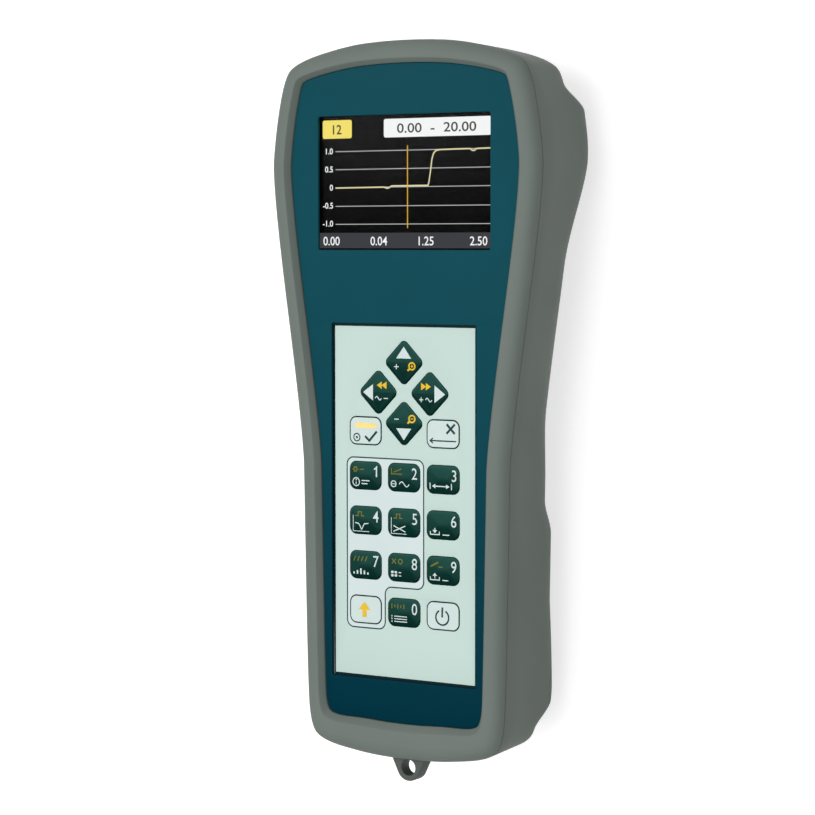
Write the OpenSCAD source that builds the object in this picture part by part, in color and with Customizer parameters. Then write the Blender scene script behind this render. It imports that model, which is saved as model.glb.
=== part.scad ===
// Handheld antenna analyzer: a two-part case with a colour display, eighteen keys, a coaxial socket
// and a battery bay. Millimetres. It lies on its back on Z = 0, the face looks up along +Z and the
// socket end points along +Y. The origin is under the middle of the whole part.

/* [Case] */
// Length of the case without the strap lug
body_len = 230; // [227:0.5:234]
// Width across the shoulders beside the display
shoulder_w = 100.8; // [99:0.2:104]
// Width across the grip
grip_w = 78; // [77:0.5:80]
// Width at the foot
heel_w = 75.2; // [74:0.2:77]
// Thickness over the humps of the back
body_t = 55; // [54:0.5:58]
// Thickness at the waist
waist_t = 42.3; // [41:0.1:44]
// Wall of the rear shell
wall = 2.4; // [2:0.1:2.6]
// Draft of the side walls in degrees
side_draft = 5.5; // [4.5:0.5:7]
// Radius from the sides to the back
back_round = 21.5; // [20:0.5:22]
// Height of the swell that leads into the grip
grip_swell = 3.5; // [2.5:0.1:4.5]
// Height of the step up to the battery door
door_step = 5.3; // [4.5:0.1:5.8]

/* [Front rim] */
// Height of the rim over the parting line
rim_h = 4.1; // [3.8:0.1:4.6]
// Width of the rounded outer edge
rim_round = 6; // [5:0.1:6.1]
// Width of the rim at the sides
rim_w = 7.5; // [7.4:0.1:8.5]
// Width of the rim at the foot
rim_foot = 11.6; // [11:0.1:12]
// Width of the bevel inside the rim
bevel_w = 1.3; // [1:0.1:1.4]
// Depth of the face below the rim
face_drop = 2.4; // [2:0.1:2.6]
// Height of the lip that locates the two shells
lip_h = 3.9; // [3:0.1:4.2]

/* [Face] */
// Thickness of the teal plate
panel_t = 1.2; // [1:0.1:1.4]
// Width of the display window
screen_w = 64.8; // [62:0.2:66]
// Height of the display window
screen_h = 42.9; // [41:0.1:44]
// Middle of the display window below the socket end
screen_from_top = 44.85; // [44:0.05:46]
// Width of the pale keypad sheet
pad_w = 53; // [52:0.2:54]
// Height of the pale keypad sheet
pad_h = 113; // [111:0.5:114]
// Top of the keypad below the socket end
pad_from_top = 90.8; // [90:0.1:92]
// Gap around the keypad sheet
pad_gap = 0.9; // [0.6:0.1:1]
// Thickness of the keypad sheet
overlay_t = 0.3; // [0.2:0.05:0.4]

/* [Keys] */
// Width of a key
key_w = 12.1; // [11:0.1:12.6]
// Height of a key
key_h = 9; // [8.4:0.1:9.6]
// Corner radius of a key
key_round = 2.4; // [1.6:0.1:2.8]
// Distance between key columns
key_pitch_x = 14.7; // [14.4:0.1:15]
// Distance between key rows
key_pitch_y = 14.5; // [14:0.1:14.8]
// Row of the first digits below the top of the keypad
first_row = 48.2; // [47.6:0.1:48.8]
// Side of a diamond key
diamond_side = 10.6; // [10:0.1:11]
// Corner radius of a diamond key
diamond_round = 1.7; // [1.2:0.1:2]
// Distance of a diamond key from the middle of its cross
diamond_reach = 9.75; // [9.5:0.05:10]
// Middle of the cross below the top of the keypad
cross_from_top = 21.15; // [20.8:0.05:21.6]
// Gap between a key and the keypad sheet
key_gap = 0.15; // [0.1:0.05:0.2]
// How far a key goes in
key_travel = 0.4; // [0.3:0.05:0.5]

/* [Strap lug] */
// How far the lug stands out of the foot
lug_reach = 7.5; // [7:0.1:9]
// Width of the lug at its root
lug_w = 13.2; // [12:0.1:15]
// Thickness of the lug
lug_t = 5; // [4.4:0.1:5]
// Diameter of the hole for the strap
lug_hole_d = 4.6; // [4:0.1:5]

/* [Antenna socket] */
// Diameter of the outer thread of the socket
thread_d = 15.88; // [15.6:0.01:16]
// Length of the threaded barrel
thread_len = 10.5; // [9:0.1:11]
// Diameter of the recess around the socket
recess_d = 27; // [26:0.5:27.5]
// Depth of the recess below the socket end
recess_depth = 16.5; // [16:0.1:18]
// Wall of the cup that lines the recess
cup_wall = 1.6; // [1.4:0.1:1.8]

/* [Batteries] */
// Diameter of a cell
cell_d = 14.5; // [14.1:0.1:14.6]
// Length of a cell
cell_len = 50.5; // [49.5:0.1:50.5]

/* [Hidden] */

$fn = 48;
eps = 0.01;

// Colours
grey_green = [0.42, 0.46, 0.42];
teal = [0.09, 0.27, 0.32];
mint = [0.78, 0.87, 0.83];
dark_green = [0.08, 0.27, 0.26];
pale_key = [0.86, 0.87, 0.88];
black = [0.08, 0.08, 0.09];
board_green = [0.06, 0.35, 0.20];
steel = [0.70, 0.71, 0.72];
brass = [0.80, 0.66, 0.36];

// Ends of the case along Y
y_top = (body_len + lug_reach) / 2;
y_foot = y_top - body_len;

// Levels along Z
z_rim = body_t;
z_part = body_t - rim_h;
z_face = body_t - face_drop;
z_ledge = z_face - panel_t;
ledge_t = 1;
z_chassis_top = z_ledge - ledge_t;
chassis_t = 2.2;
z_chassis = z_chassis_top - chassis_t;

// Height over the keypad's top edge and over the display's middle
pad_y = y_top - pad_from_top;
screen_y = y_top - screen_from_top;

// How the end walls lean, as a share of how the sides do
end_lean = 0.34;
// Width of the ledge that carries the teal plate
ledge_w = 3;
// Clearances
fit_gap = 0.1;
slip_gap = 0.2;
door_gap = 0.3;
// Width of a cut that goes right through the case
cut_w = shoulder_w + 19.2;

// ---------------------------------------------------------------- outline

// The right half of the outline from the foot to the socket end. Each row is a control point, the
// direction in which it moves when the front outline shrinks by 1, the same for the back's edges, and
// the number of steps of its arc.
function side_x(share) = (heel_w + share * (grip_w - heel_w)) / 2;
half_stations = [
    [6, y_foot, 0, -1, 0, -0.91, 1],
    [16, y_foot + 0.6, 0.1, -1, 0.1, -0.91, 2],
    [heel_w / 2 - 6.1, y_foot + 2.9, 0.7, -0.8, 0.89, -0.57, 3],
    [heel_w / 2 - 1, y_foot + 7.7, 0.93, -0.6, 1.07, -0.55, 4],
    [heel_w / 2, y_foot + 27.2, 1, 0, 1, 0, 5],
    [side_x(0.58), pad_y - 68, 1, 0, 1, 0, 6],
    [side_x(0.74), pad_y - 56, 1, 0, 1, 0, 4],
    [grip_w / 2, pad_y - 36, 1, 0, 1, 0, 6],
    [shoulder_w / 2 + 0.7, y_top - 45.8, 1, 0, 1, 0, 8],
    [shoulder_w / 2 - 0.7, y_top - 28.8, 1, 0, 1, 0, 4],
    [shoulder_w / 2 - 4.1, y_top - 11.3, 0.95, 0.33, 0.89, 0.44, 4],
    [shoulder_w / 2 - 8.6, y_top - 5.6, 0.57, 0.8, 0.7, 0.82, 3],
    [22, y_top - 0.9, 0.05, 1, 0.05, 0.91, 2],
    [7.5, y_top + 0.1, 0, 1, 0, 0.91, 1]
];
half_n = len(half_stations);

// Control point i, mirrored past both ends of the half outline
function mirror_x(p) = [-p[0], p[1], -p[2], p[3], -p[4], p[5]];
function row(i) = [for (k = [0:5]) half_stations[i][k]];
function control(i) =
    i < 0 ? mirror_x(row(0))
    : i >= half_n ? mirror_x(row(half_n - 1))
    : row(i);

// Quadratic arc from the middle of one leg of the control polygon to the middle of the next
function arc_at(i, t) =
    let (a = (control(i - 1) + control(i)) / 2, b = control(i), c = (control(i) + control(i + 1)) / 2)
    (1 - t) * (1 - t) * a + 2 * t * (1 - t) * b + t * t * c;

half_curve = concat(
    [for (i = [0:half_n - 1]) for (j = [0:half_stations[i][6] - 1]) arc_at(i, j / half_stations[i][6])],
    [arc_at(half_n - 1, 1)]
);
half_len = len(half_curve) - 1;
curve = concat(half_curve, [for (i = [half_len - 1:-1:1]) mirror_x(half_curve[i])]);
curve_n = len(curve);

// A curve point moved inwards by s, with its own rate at the socket end and at the foot
function inset(p, s, k_top, k_foot) =
    [p[0] - s * p[2], p[1] - s * (p[3] > 0 ? k_top : k_foot) * p[3]];
function outline(s, k_top = 1, k_foot = 1) = [for (p = curve) inset(p, s, k_top, k_foot)];

// The face outline leaves a wider rim at the foot
face_k_top = 0.96;
face_k_foot = rim_foot / rim_w;
function face_outline(s) = outline(s, face_k_top, face_k_foot);

// Half width of the case at height y
width_table = [for (p = half_curve) [p[1], p[0]]];
function half_width(y) = lookup(y, width_table);

// ---------------------------------------------------------------- thickness

// Smooth step from 0 at a to 1 at b
function ease(y, a, b) = let (u = max(0, min(1, (y - a) / (b - a)))) u * u * (3 - 2 * u);
function ramp(y, a, b) = max(0, min(1, (y - a) / (b - a)));

hump_rise = body_t - waist_t;
heel_step = 10;
// Ends of the battery door and of the flat that it stands on. The door is as long as the cells need.
door_from_foot = 15.2;
door_room = 16;
y_door_end = y_foot + door_from_foot;
y_door_top = y_door_end + cell_len + door_room;
y_heel = y_door_end + 3.1;

function upper_hump(y) =
    hump_rise * (y < y_top - 25 ? ease(y, y_top - 72.1, y_top - 29) : 1 - ease(y, y_top - 22.8, y_top - 15.9));
function lower_hump(y) =
    grip_swell * ease(y, pad_y - 26, pad_y - 48.3)
    + door_step * ease(y, y_door_top + 1.4, y_door_top - 10.3)
    + (hump_rise - grip_swell - door_step) * ramp(y, y_door_top - 32, y_heel + 3)
    - heel_step * ease(y, y_heel, y_door_end - 3.5);
function thickness(y) = waist_t + upper_hump(y) + lower_hump(y);
function back_z(y) = body_t - thickness(y);

// ---------------------------------------------------------------- skins

// Inward shift and depth of the side wall and its round edge: step 0 is the parting line
edge_steps = 5;
function edge_angle(k) = side_draft + (90 - side_draft) * (k - 1) / edge_steps;
function edge_shift(k, depth, r) =
    k == 0 ? 0 : tan(side_draft) * (depth - r + r * sin(side_draft)) + r * (cos(side_draft) - cos(edge_angle(k)));
function edge_depth(k, depth, r) = k == 0 ? 0 : depth - r + r * sin(edge_angle(k));

// Ring k of the back, skin millimetres inside the outer surface
function back_ring(k, skin) = [
    for (p = curve)
        let (
            y_in = p[1] - back_round * end_lean * p[5],
            r = back_round - skin,
            depth = z_part - back_z(y_in) - skin,
            s = edge_shift(k, depth, r)
        )
        [p[0] - s * p[4] - skin * p[2], p[1] - s * end_lean * p[5] - skin * p[3], z_part - edge_depth(k, depth, r)]
];

// Triangles between neighbouring rings, each of n points
function band_faces(first, second, n) = [
    for (i = [0:n - 1])
        let (j = (i + 1) % n)
        for (face = [[first + i, second + i, second + j], [first + i, second + j, first + j]]) face
];
// Strips across a ring from its right half to its left half
function strip_faces(base, n) = [
    for (i = [0:n / 2 - 1])
        let (a = i, b = i + 1, c = (n - i - 1) % n, d = (n - i) % n)
        for (face = [[a, b, c], [a, c, d]])
            if (face[0] != face[2] && face[1] != face[2] && face[0] != face[1])
                [for (v = face) base + v]
];
function flip(faces) = [for (f = faces) [f[2], f[1], f[0]]];

// A closed surface through a stack of rings around the case
module ring_solid(rings) {
    polyhedron(
        points = [for (ring = rings) for (p = ring) p],
        faces = concat(
            flip(strip_faces(0, curve_n)),
            flip([for (i = [0:len(rings) - 2]) for (f = band_faces(i * curve_n, (i + 1) * curve_n, curve_n)) f]),
            strip_faces((len(rings) - 1) * curve_n, curve_n)
        )
    );
}
// The hollow back: inner rings up to the parting line, then outer rings down again
module back_skin() {
    ring_solid(concat(
        [for (k = [edge_steps + 1:-1:0]) back_ring(k, wall)],
        [for (k = [0:edge_steps + 1]) back_ring(k, 0)]
    ));
}
// What the back holds, from the middle of its wall inwards
module back_core() {
    ring_solid([for (k = [0:edge_steps + 1]) back_ring(k, wall / 2)]);
}

// A closed section swept once around the case. Each row is an inward shift, a height and the two rates.
module rim_sweep(section) {
    rings = [for (row = section) [for (q = outline(row[0], row[2], row[3])) [q[0], q[1], row[1]]]];
    rows = len(section);
    polyhedron(
        points = [for (ring = rings) for (p = ring) p],
        faces = [for (i = [0:rows - 1]) for (f = band_faces(i * curve_n, ((i + 1) % rows) * curve_n, curve_n)) f]
    );
}

// A flat ring or plate that follows the outline
module plate(points, z, height) {
    translate([0, 0, z]) linear_extrude(height) polygon(points);
}

// ---------------------------------------------------------------- screws

// Places of the screws: the rear shell's, the chassis's, the board's and those of the display clamp
case_screw_upper = [shoulder_w / 2 - 10.9, y_top - 40.8];
case_screw_lower = [key_pitch_x / 2, pad_y - 41];
case_screw_r = 1.5;
post_r = 3.6;
boss_r = 4.6;
post_z = z_chassis - 8.2;
head_r = 2.9;
head_h = 1.9;
recess_r = 3.2;
screw_seat_z = 28;

rim_screw_r = 0.9;
rim_head_r = 1.6;
rim_screw_y = [y_top - 20, pad_y - 12, y_foot + 35.2];
rim_screw_s = 6.3;
board_screw_xy = [[29, pad_y + 15], [21.5, y_top - 16.6]];

module both_sides() {
    children();
    mirror([1, 0, 0]) children();
}
module screw(length, r, head_radius, head_height) {
    translate([0, 0, -length]) cylinder(h = length + eps, r = r);
    difference() {
        cylinder(h = head_height, r = head_radius);
        translate([0, 0, head_height * 0.45]) cylinder(h = head_height, r = head_radius * 0.5, $fn = 6);
    }
}
module rim_screw_places() {
    for (y = rim_screw_y) both_sides() translate([half_width(y) - rim_screw_s, y, 0]) children();
}

// ---------------------------------------------------------------- case

lip_s = wall + slip_gap + lip_h * tan(side_draft) + 0.2;
lip_t = 1.2;
chassis_s = lip_s + lip_t + slip_gap;

// The recess for the socket
axis_z = body_t - 22;
cup_r = recess_d / 2 + cup_wall;
y_recess = y_top - recess_depth;

module lug_root(gap) {
    translate([-lug_w / 2 - gap, y_foot - 3, z_lug - gap]) cube([lug_w + 2 * gap, 3 + 6.5, lug_t + 2 * gap]);
}
z_lug = z_part - 1.4 - lug_t;
lug_flange_x = 3;
lug_flange_y = 1.8;
lug_flange_at = wall + 0.85;
lug_tip_r = 4.4;
// Room for the lug's flange in the frames above it
module lug_room(low_z) {
    half = lug_w / 2 + lug_flange_x + door_gap;
    translate([-half, y_foot + wall, low_z])
        cube([2 * half, lug_flange_at - wall + lug_flange_y + slip_gap, z_lug + lug_t + slip_gap - low_z]);
}

module front_shell() {
    steps = 5;
    rounded = [
        for (i = [0:steps])
            [rim_round * (1 - cos(90 * i / steps)), z_part + rim_h * sin(90 * i / steps), 1, 1]
    ];
    section = concat(rounded, [
        [rim_w - bevel_w, z_rim - 0.05, face_k_top, face_k_foot],
        [rim_w - bevel_w * 0.72, z_rim - 0.4, face_k_top, face_k_foot],
        [rim_w - bevel_w * 0.22, z_face + 0.55, face_k_top, face_k_foot],
        [rim_w, z_face + 0.35, face_k_top, face_k_foot],
        [rim_w, z_ledge, face_k_top, face_k_foot],
        [rim_w + ledge_w, z_ledge, face_k_top, face_k_foot],
        [rim_w + ledge_w, z_chassis_top, face_k_top, face_k_foot],
        [lip_s + lip_t, z_chassis_top, 1, 1],
        [lip_s + lip_t, z_part - lip_h, 1, 1],
        [lip_s, z_part - lip_h, 1, 1],
        [lip_s, z_part, 1, 1]
    ]);
    color(grey_green) difference() {
        rim_sweep(section);
        rim_screw_places() translate([0, 0, z_chassis_top - 1]) cylinder(h = 1 + 3, r = rim_screw_r + 0.05);
        notch_z = z_part - lip_h - 1;
        lug_room(notch_z);
        cup_notch = cup_r * 0.75;
        translate([-cup_notch, y_top - 8, notch_z]) cube([2 * cup_notch, 6, axis_z + cup_r + slip_gap - notch_z]);
    }
}

// Bosses in the rear shell for the four case screws
module case_boss(place) {
    translate([place[0], place[1], 0]) cylinder(h = post_z - 0.05, r = boss_r);
}
module case_hole(place) {
    translate([place[0], place[1], -1]) {
        cylinder(h = screw_seat_z + 1, r = recess_r);
        cylinder(h = post_z + 2, r = case_screw_r + 0.2);
    }
}

z_door = 16;
usb_x = -(cup_r + 14.9);
usb_z = post_z + 1.8;

module rear_shell() {
    color(grey_green) difference() {
        union() {
            back_skin();
            intersection() {
                back_core();
                both_sides() {
                    case_boss(case_screw_upper);
                    case_boss(case_screw_lower);
                }
            }
        }
        both_sides() {
            case_hole(case_screw_upper);
            case_hole(case_screw_lower);
        }
        translate([-cut_w / 2, y_door_end - door_gap / 2, -1])
            cube([cut_w, y_door_top - y_door_end + door_gap, z_door + 1 + door_gap / 2]);
        translate([0, y_recess - 2, axis_z]) rotate([-90, 0, 0]) cylinder(h = 30, r = cup_r + slip_gap);
        translate([usb_x - 5.2, y_top - 14, usb_z - 2.4]) cube([10.4, 20, 4.8]);
        lug_root(slip_gap / 2);
    }
}

// The battery door is cut from the same skin. Two hooks hold its upper edge, a tongue its lower one.
hook_x = 12.4;
hook_w = 8;
module battery_door() {
    z_hook = back_z(y_door_top) + wall + 0.45;
    color(grey_green) {
        intersection() {
            back_skin();
            translate([-cut_w / 2, y_door_end + door_gap / 2, -1])
                cube([cut_w, y_door_top - y_door_end - door_gap, z_door + 1 - door_gap / 2]);
        }
        for (side = [-1, 1]) translate([side * hook_x - hook_w / 2, y_door_top, z_hook]) {
            translate([0, -2.2, -2]) cube([hook_w, 1.8, 2 + 1.4]);
            translate([0, -2.2, 0]) cube([hook_w, 2.2 + 2.8, 1.4]);
        }
    }
}

// Where the straight edge from point p meets the circle round c
function tangent_point(p, c, r) =
    let (d = p - c, turn = atan2(d[1], d[0]) - acos(r / norm(d)))
    c + r * [cos(turn), sin(turn)];

module strap_lug() {
    y_hole = y_top - body_len - lug_reach + lug_tip_r;
    root = [lug_w / 2, y_foot + 0.4];
    touch = tangent_point(root, [0, y_hole], lug_tip_r);
    color(grey_green) difference() {
        translate([0, 0, z_lug]) union() {
            translate([0, y_hole, 0]) cylinder(h = lug_t, r = lug_tip_r);
            linear_extrude(lug_t) polygon([touch, root, [-root[0], root[1]], [-touch[0], touch[1]]]);
            translate([-lug_w / 2, y_foot, 0]) cube([lug_w, lug_flange_at + 0.2, lug_t]);
            translate([-lug_w / 2 - lug_flange_x, y_foot + lug_flange_at, 0])
                cube([lug_w + 2 * lug_flange_x, lug_flange_y, lug_t]);
        }
        translate([0, y_hole, z_lug - 1]) cylinder(h = lug_t + 2, r = lug_hole_d / 2);
    }
}

module case_seal() {
    s_in = lip_s - 0.05;
    color(black) plate_ring(s_in - 0.5, s_in, z_part - 1.15, 1);
}
module plate_ring(s_out, s_in, z, height) {
    translate([0, 0, z]) linear_extrude(height) difference() {
        polygon(outline(s_out));
        polygon(outline(s_in));
    }
}

module case_screws() {
    color(steel) both_sides() for (place = [case_screw_upper, case_screw_lower])
        translate([place[0], place[1], screw_seat_z - 0.1]) rotate([180, 0, 0])
            screw(post_z + 6 - screw_seat_z, case_screw_r, head_r, head_h);
}

// ---------------------------------------------------------------- face

module rounded_square(w, h, r) {
    square([w - 2 * r, h], center = true);
    square([w, h - 2 * r], center = true);
    for (sx = [-1, 1]) for (sy = [-1, 1])
        translate([sx * (w / 2 - r), sy * (h / 2 - r)]) circle(r = r);
}
pad_mid_y = pad_y - pad_h / 2;

module face_panel() {
    color(teal) translate([0, 0, z_ledge]) linear_extrude(panel_t) difference() {
        polygon(face_outline(rim_w + fit_gap));
        translate([0, screen_y]) rounded_square(screen_w, screen_h, 0.6);
        translate([0, pad_mid_y]) rounded_square(pad_w + 2 * pad_gap, pad_h + 2 * pad_gap, 0.6);
    }
}

// Key places: name, column and row of the square keys, and direction of the diamond keys
square_keys = [
    ["key_ok", -1, -1, pale_key], ["key_cancel", 1, -1, pale_key],
    ["key_1", -1, 0, dark_green], ["key_2", 0, 0, dark_green], ["key_3", 1, 0, dark_green],
    ["key_4", -1, 1, dark_green], ["key_5", 0, 1, dark_green], ["key_6", 1, 1, dark_green],
    ["key_7", -1, 2, dark_green], ["key_8", 0, 2, dark_green], ["key_9", 1, 2, dark_green],
    ["key_function", -1, 3, pale_key], ["key_0", 0, 3, dark_green], ["key_power", 1, 3, pale_key]
];
diamond_keys = [["key_up", 0, 1], ["key_left", -1, 0], ["key_right", 1, 0], ["key_down", 0, -1]];
function square_place(k) = [k[1] * key_pitch_x, pad_y - first_row - k[2] * key_pitch_y];
function diamond_place(k) = [k[1] * diamond_reach, pad_y - cross_from_top + k[2] * diamond_reach];
key_places = concat(
    [for (k = square_keys) square_place(k)],
    [for (k = diamond_keys) diamond_place(k)]
);

module square_outline(gap) {
    rounded_square(key_w + 2 * gap, key_h + 2 * gap, key_round + gap);
}
module diamond_outline(gap) {
    rotate(45) rounded_square(diamond_side + 2 * gap, diamond_side + 2 * gap, diamond_round + gap);
}
module all_key_outlines(gap) {
    for (k = square_keys) translate(square_place(k)) square_outline(gap);
    for (k = diamond_keys) translate(diamond_place(k)) diamond_outline(gap);
}

module keypad_overlay() {
    color(mint) translate([0, pad_mid_y, z_ledge]) linear_extrude(overlay_t) difference() {
        square([pad_w, pad_h], center = true);
        translate([0, -pad_mid_y]) all_key_outlines(key_gap);
    }
}

// Levels of a key: its cap, its stem and the collar that keeps it in
pocket_depth = 0.9;
cap_low_z = z_ledge - pocket_depth + key_travel + 0.05;
cap_top_z = z_ledge + overlay_t + 0.05;
crown_h = 0.2;
collar_t = 0.5;
stem_r = 2.4;
collar_r = 3.3;
stem_gap = 0.3;
dome_r = 3.6;
dome_h = 0.4;
z_key_board = z_chassis - 0.1 - collar_t - key_travel - 0.1 - dome_h;
key_board_t = 1;

module key_body() {
    translate([0, 0, z_chassis - 0.1 - collar_t]) cylinder(h = collar_t, r = collar_r);
    translate([0, 0, z_chassis - 0.1 - eps]) cylinder(h = cap_low_z - z_chassis + 0.1 + 2 * eps, r = stem_r);
}
module square_key(k) {
    color(k[3]) translate(concat(square_place(k), 0)) {
        key_body();
        translate([0, 0, cap_low_z]) linear_extrude(cap_top_z - cap_low_z) square_outline(0);
        translate([0, 0, cap_top_z - eps]) linear_extrude(crown_h) square_outline(-0.35);
    }
}
module diamond_key(k) {
    color(dark_green) translate(concat(diamond_place(k), 0)) {
        key_body();
        translate([0, 0, cap_low_z]) linear_extrude(cap_top_z - cap_low_z) diamond_outline(0);
        translate([0, 0, cap_top_z - eps]) linear_extrude(crown_h) diamond_outline(-0.35);
    }
}

// ---------------------------------------------------------------- chassis

pad_rim = 3;
rib_in = 1.2;
rib_t = 1.4;
lcd_w = screen_w + 4.6;
lcd_h = screen_h + 3.4;
lcd_glass_t = 1.6;
window_t = 0.6;
z_lcd_top = z_ledge - window_t - 0.1;
z_lcd = z_lcd_top - lcd_glass_t;
backlight_t = 2.6;
z_backlight = z_lcd - backlight_t;
frame_t = 0.4;
z_frame = z_backlight - frame_t;
clamp_t = 1;
module pad_rect(extra) {
    border = 2 * (pad_gap + pad_rim + extra);
    translate([0, pad_mid_y]) square([pad_w + border, pad_h + border], center = true);
}
module screen_rect(w, h) {
    translate([0, screen_y]) square([w, h], center = true);
}
chassis_hole_w = lcd_w + 2 * frame_t + 0.6;
chassis_hole_h = lcd_h + 2 * frame_t + 0.6;
clamp_ear = 5;
clamp_screw_xy = [14, chassis_hole_h / 2 + clamp_ear / 2];
ribbon_x = -25;
ribbon_w = 14;

module chassis() {
    color(black) difference() {
        union() {
            plate(outline(chassis_s), z_chassis, chassis_t);
            // Raised pads behind the display window and the keypad
            translate([0, 0, z_chassis_top - eps]) linear_extrude(ledge_t + eps) intersection() {
                polygon(face_outline(rim_w + ledge_w + slip_gap));
                union() {
                    screen_rect(lcd_w + 7, lcd_h + 6);
                    pad_rect(0);
                }
            }
            // Rib around the key board
            translate([0, 0, z_key_board]) linear_extrude(z_chassis - z_key_board + eps) difference() {
                pad_rect(-rib_in);
                pad_rect(-rib_in - rib_t);
            }
            // Posts for the case screws and for the main board
            both_sides() for (place = [case_screw_upper, case_screw_lower, board_screw_xy[0], board_screw_xy[1]])
                translate([place[0], place[1], post_z]) cylinder(h = z_chassis - post_z + eps, r = post_r);
            both_sides() for (side = [-1, 1])
                translate([clamp_screw_xy[0], screen_y + side * clamp_screw_xy[1], z_frame])
                    cylinder(h = z_chassis - z_frame + eps, r = 2.2);
            key_board_screw_places() translate([0, 0, z_key_board]) cylinder(h = z_chassis - z_key_board + eps, r = 2.4);
        }
        translate([0, 0, z_chassis - 9]) linear_extrude(20) screen_rect(chassis_hole_w, chassis_hole_h);
        translate([0, 0, z_ledge - pocket_depth]) linear_extrude(5) all_key_outlines(key_gap);
        for (place = key_places) translate([place[0], place[1], z_chassis - 1])
            cylinder(h = 5, r = stem_r + stem_gap);
        rim_screw_places() translate([0, 0, z_chassis - 1]) cylinder(h = 5, r = rim_screw_r + 0.25);
        both_sides() for (place = [case_screw_upper, case_screw_lower])
            translate([place[0], place[1], post_z - 1]) cylinder(h = 8, r = case_screw_r + 0.05);
        both_sides() for (place = board_screw_xy)
            translate([place[0], place[1], post_z - 1]) cylinder(h = 7, r = 0.85);
        both_sides() for (side = [-1, 1])
            translate([clamp_screw_xy[0], screen_y + side * clamp_screw_xy[1], z_frame - 1]) cylinder(h = 4, r = 0.7);
        key_board_screw_places() translate([0, 0, z_key_board - 1]) cylinder(h = 4, r = 0.95);
        lug_room(z_chassis - 1);
        // Way out for the display's flat cable
        translate([ribbon_x - ribbon_w / 2 - 1, screen_y - chassis_hole_h / 2 - 4, z_chassis - 1])
            cube([ribbon_w + 2, 4.2, chassis_t + 1.6]);
    }
}
module chassis_screws() {
    color(steel) rim_screw_places() translate([0, 0, z_chassis - 0.05]) rotate([180, 0, 0])
        screw(chassis_t + 2.6, rim_screw_r, rim_head_r, 1.1);
}

// ---------------------------------------------------------------- display

module display_window() {
    color([0.75, 0.85, 0.88, 0.4]) translate([0, 0, z_ledge - window_t])
        linear_extrude(window_t) screen_rect(screen_w + 3, screen_h + 2.4);
}
module lcd_panel() {
    color(black) translate([0, 0, z_lcd]) linear_extrude(lcd_glass_t) screen_rect(lcd_w, lcd_h);
}
module backlight() {
    color("white") translate([0, 0, z_backlight]) linear_extrude(backlight_t - 0.05) screen_rect(lcd_w, lcd_h);
}
module lcd_frame() {
    color(steel) difference() {
        translate([0, 0, z_frame]) linear_extrude(z_lcd_top - z_frame - 0.3)
            screen_rect(lcd_w + 2 * frame_t, lcd_h + 2 * frame_t);
        translate([0, 0, z_frame + frame_t - 0.05]) linear_extrude(20) screen_rect(lcd_w + 0.05, lcd_h + 0.05);
        translate([0, 0, z_frame - 1]) linear_extrude(5) screen_rect(lcd_w - 14, lcd_h - 14);
        translate([ribbon_x - ribbon_w / 2 - 0.5, screen_y - lcd_h / 2 - 2, z_lcd - 1.4]) cube([ribbon_w + 1, 3, 8]);
    }
}
module lcd_clamp() {
    color(steel) difference() {
        translate([0, 0, z_frame - clamp_t]) linear_extrude(clamp_t - 0.05) union() {
            screen_rect(lcd_w - 2, lcd_h - 2);
            for (side = [-1, 1]) translate([side * clamp_screw_xy[0], screen_y])
                square([6.4, chassis_hole_h + 2 * clamp_ear], center = true);
        }
        translate([0, 0, z_frame - clamp_t - 1]) linear_extrude(4) {
            screen_rect(lcd_w - 20, lcd_h - 18);
            for (sx = [-1, 1]) for (sy = [-1, 1])
                translate([sx * clamp_screw_xy[0], screen_y + sy * clamp_screw_xy[1]]) circle(r = 1);
        }
    }
}
module clamp_screws() {
    color(steel) for (sx = [-1, 1]) for (sy = [-1, 1])
        translate([sx * clamp_screw_xy[0], screen_y + sy * clamp_screw_xy[1], z_frame - clamp_t - 0.05])
            rotate([180, 0, 0]) screw(clamp_t + 2.4, 0.65, 1.5, 0.9);
}

// ---------------------------------------------------------------- key board

key_board_w = pad_w + 2 * (pad_gap + pad_rim) - 0.4;
key_board_h = pad_h + 2 * (pad_gap + pad_rim) - 0.4;
key_board_screw = [key_board_w / 2 - 3, key_board_h / 2 - 3];
module key_board_screw_places() {
    for (sx = [-1, 1]) for (sy = [-1, 1])
        translate([sx * key_board_screw[0], pad_mid_y + sy * key_board_screw[1], 0]) children();
}
module key_domes() {
    color(steel) for (place = key_places) translate([place[0], place[1], z_key_board])
        cylinder(h = dome_h, r1 = dome_r, r2 = 1.4);
}
module key_board() {
    color(board_green) difference() {
        translate([-key_board_w / 2, pad_mid_y - key_board_h / 2, z_key_board - key_board_t])
            cube([key_board_w, key_board_h, key_board_t]);
        both_sides() translate([case_screw_lower[0], case_screw_lower[1], z_key_board - 3])
            cylinder(h = 5, r = post_r + slip_gap);
        key_board_screw_places() translate([0, 0, z_key_board - 3]) cylinder(h = 5, r = 1);
    }
}
module key_board_screws() {
    color(steel) key_board_screw_places() translate([0, 0, z_key_board - key_board_t - 0.05])
        rotate([180, 0, 0]) screw(key_board_t + 2.4, 0.9, 1.7, 0.9);
}

// ---------------------------------------------------------------- main board

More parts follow.
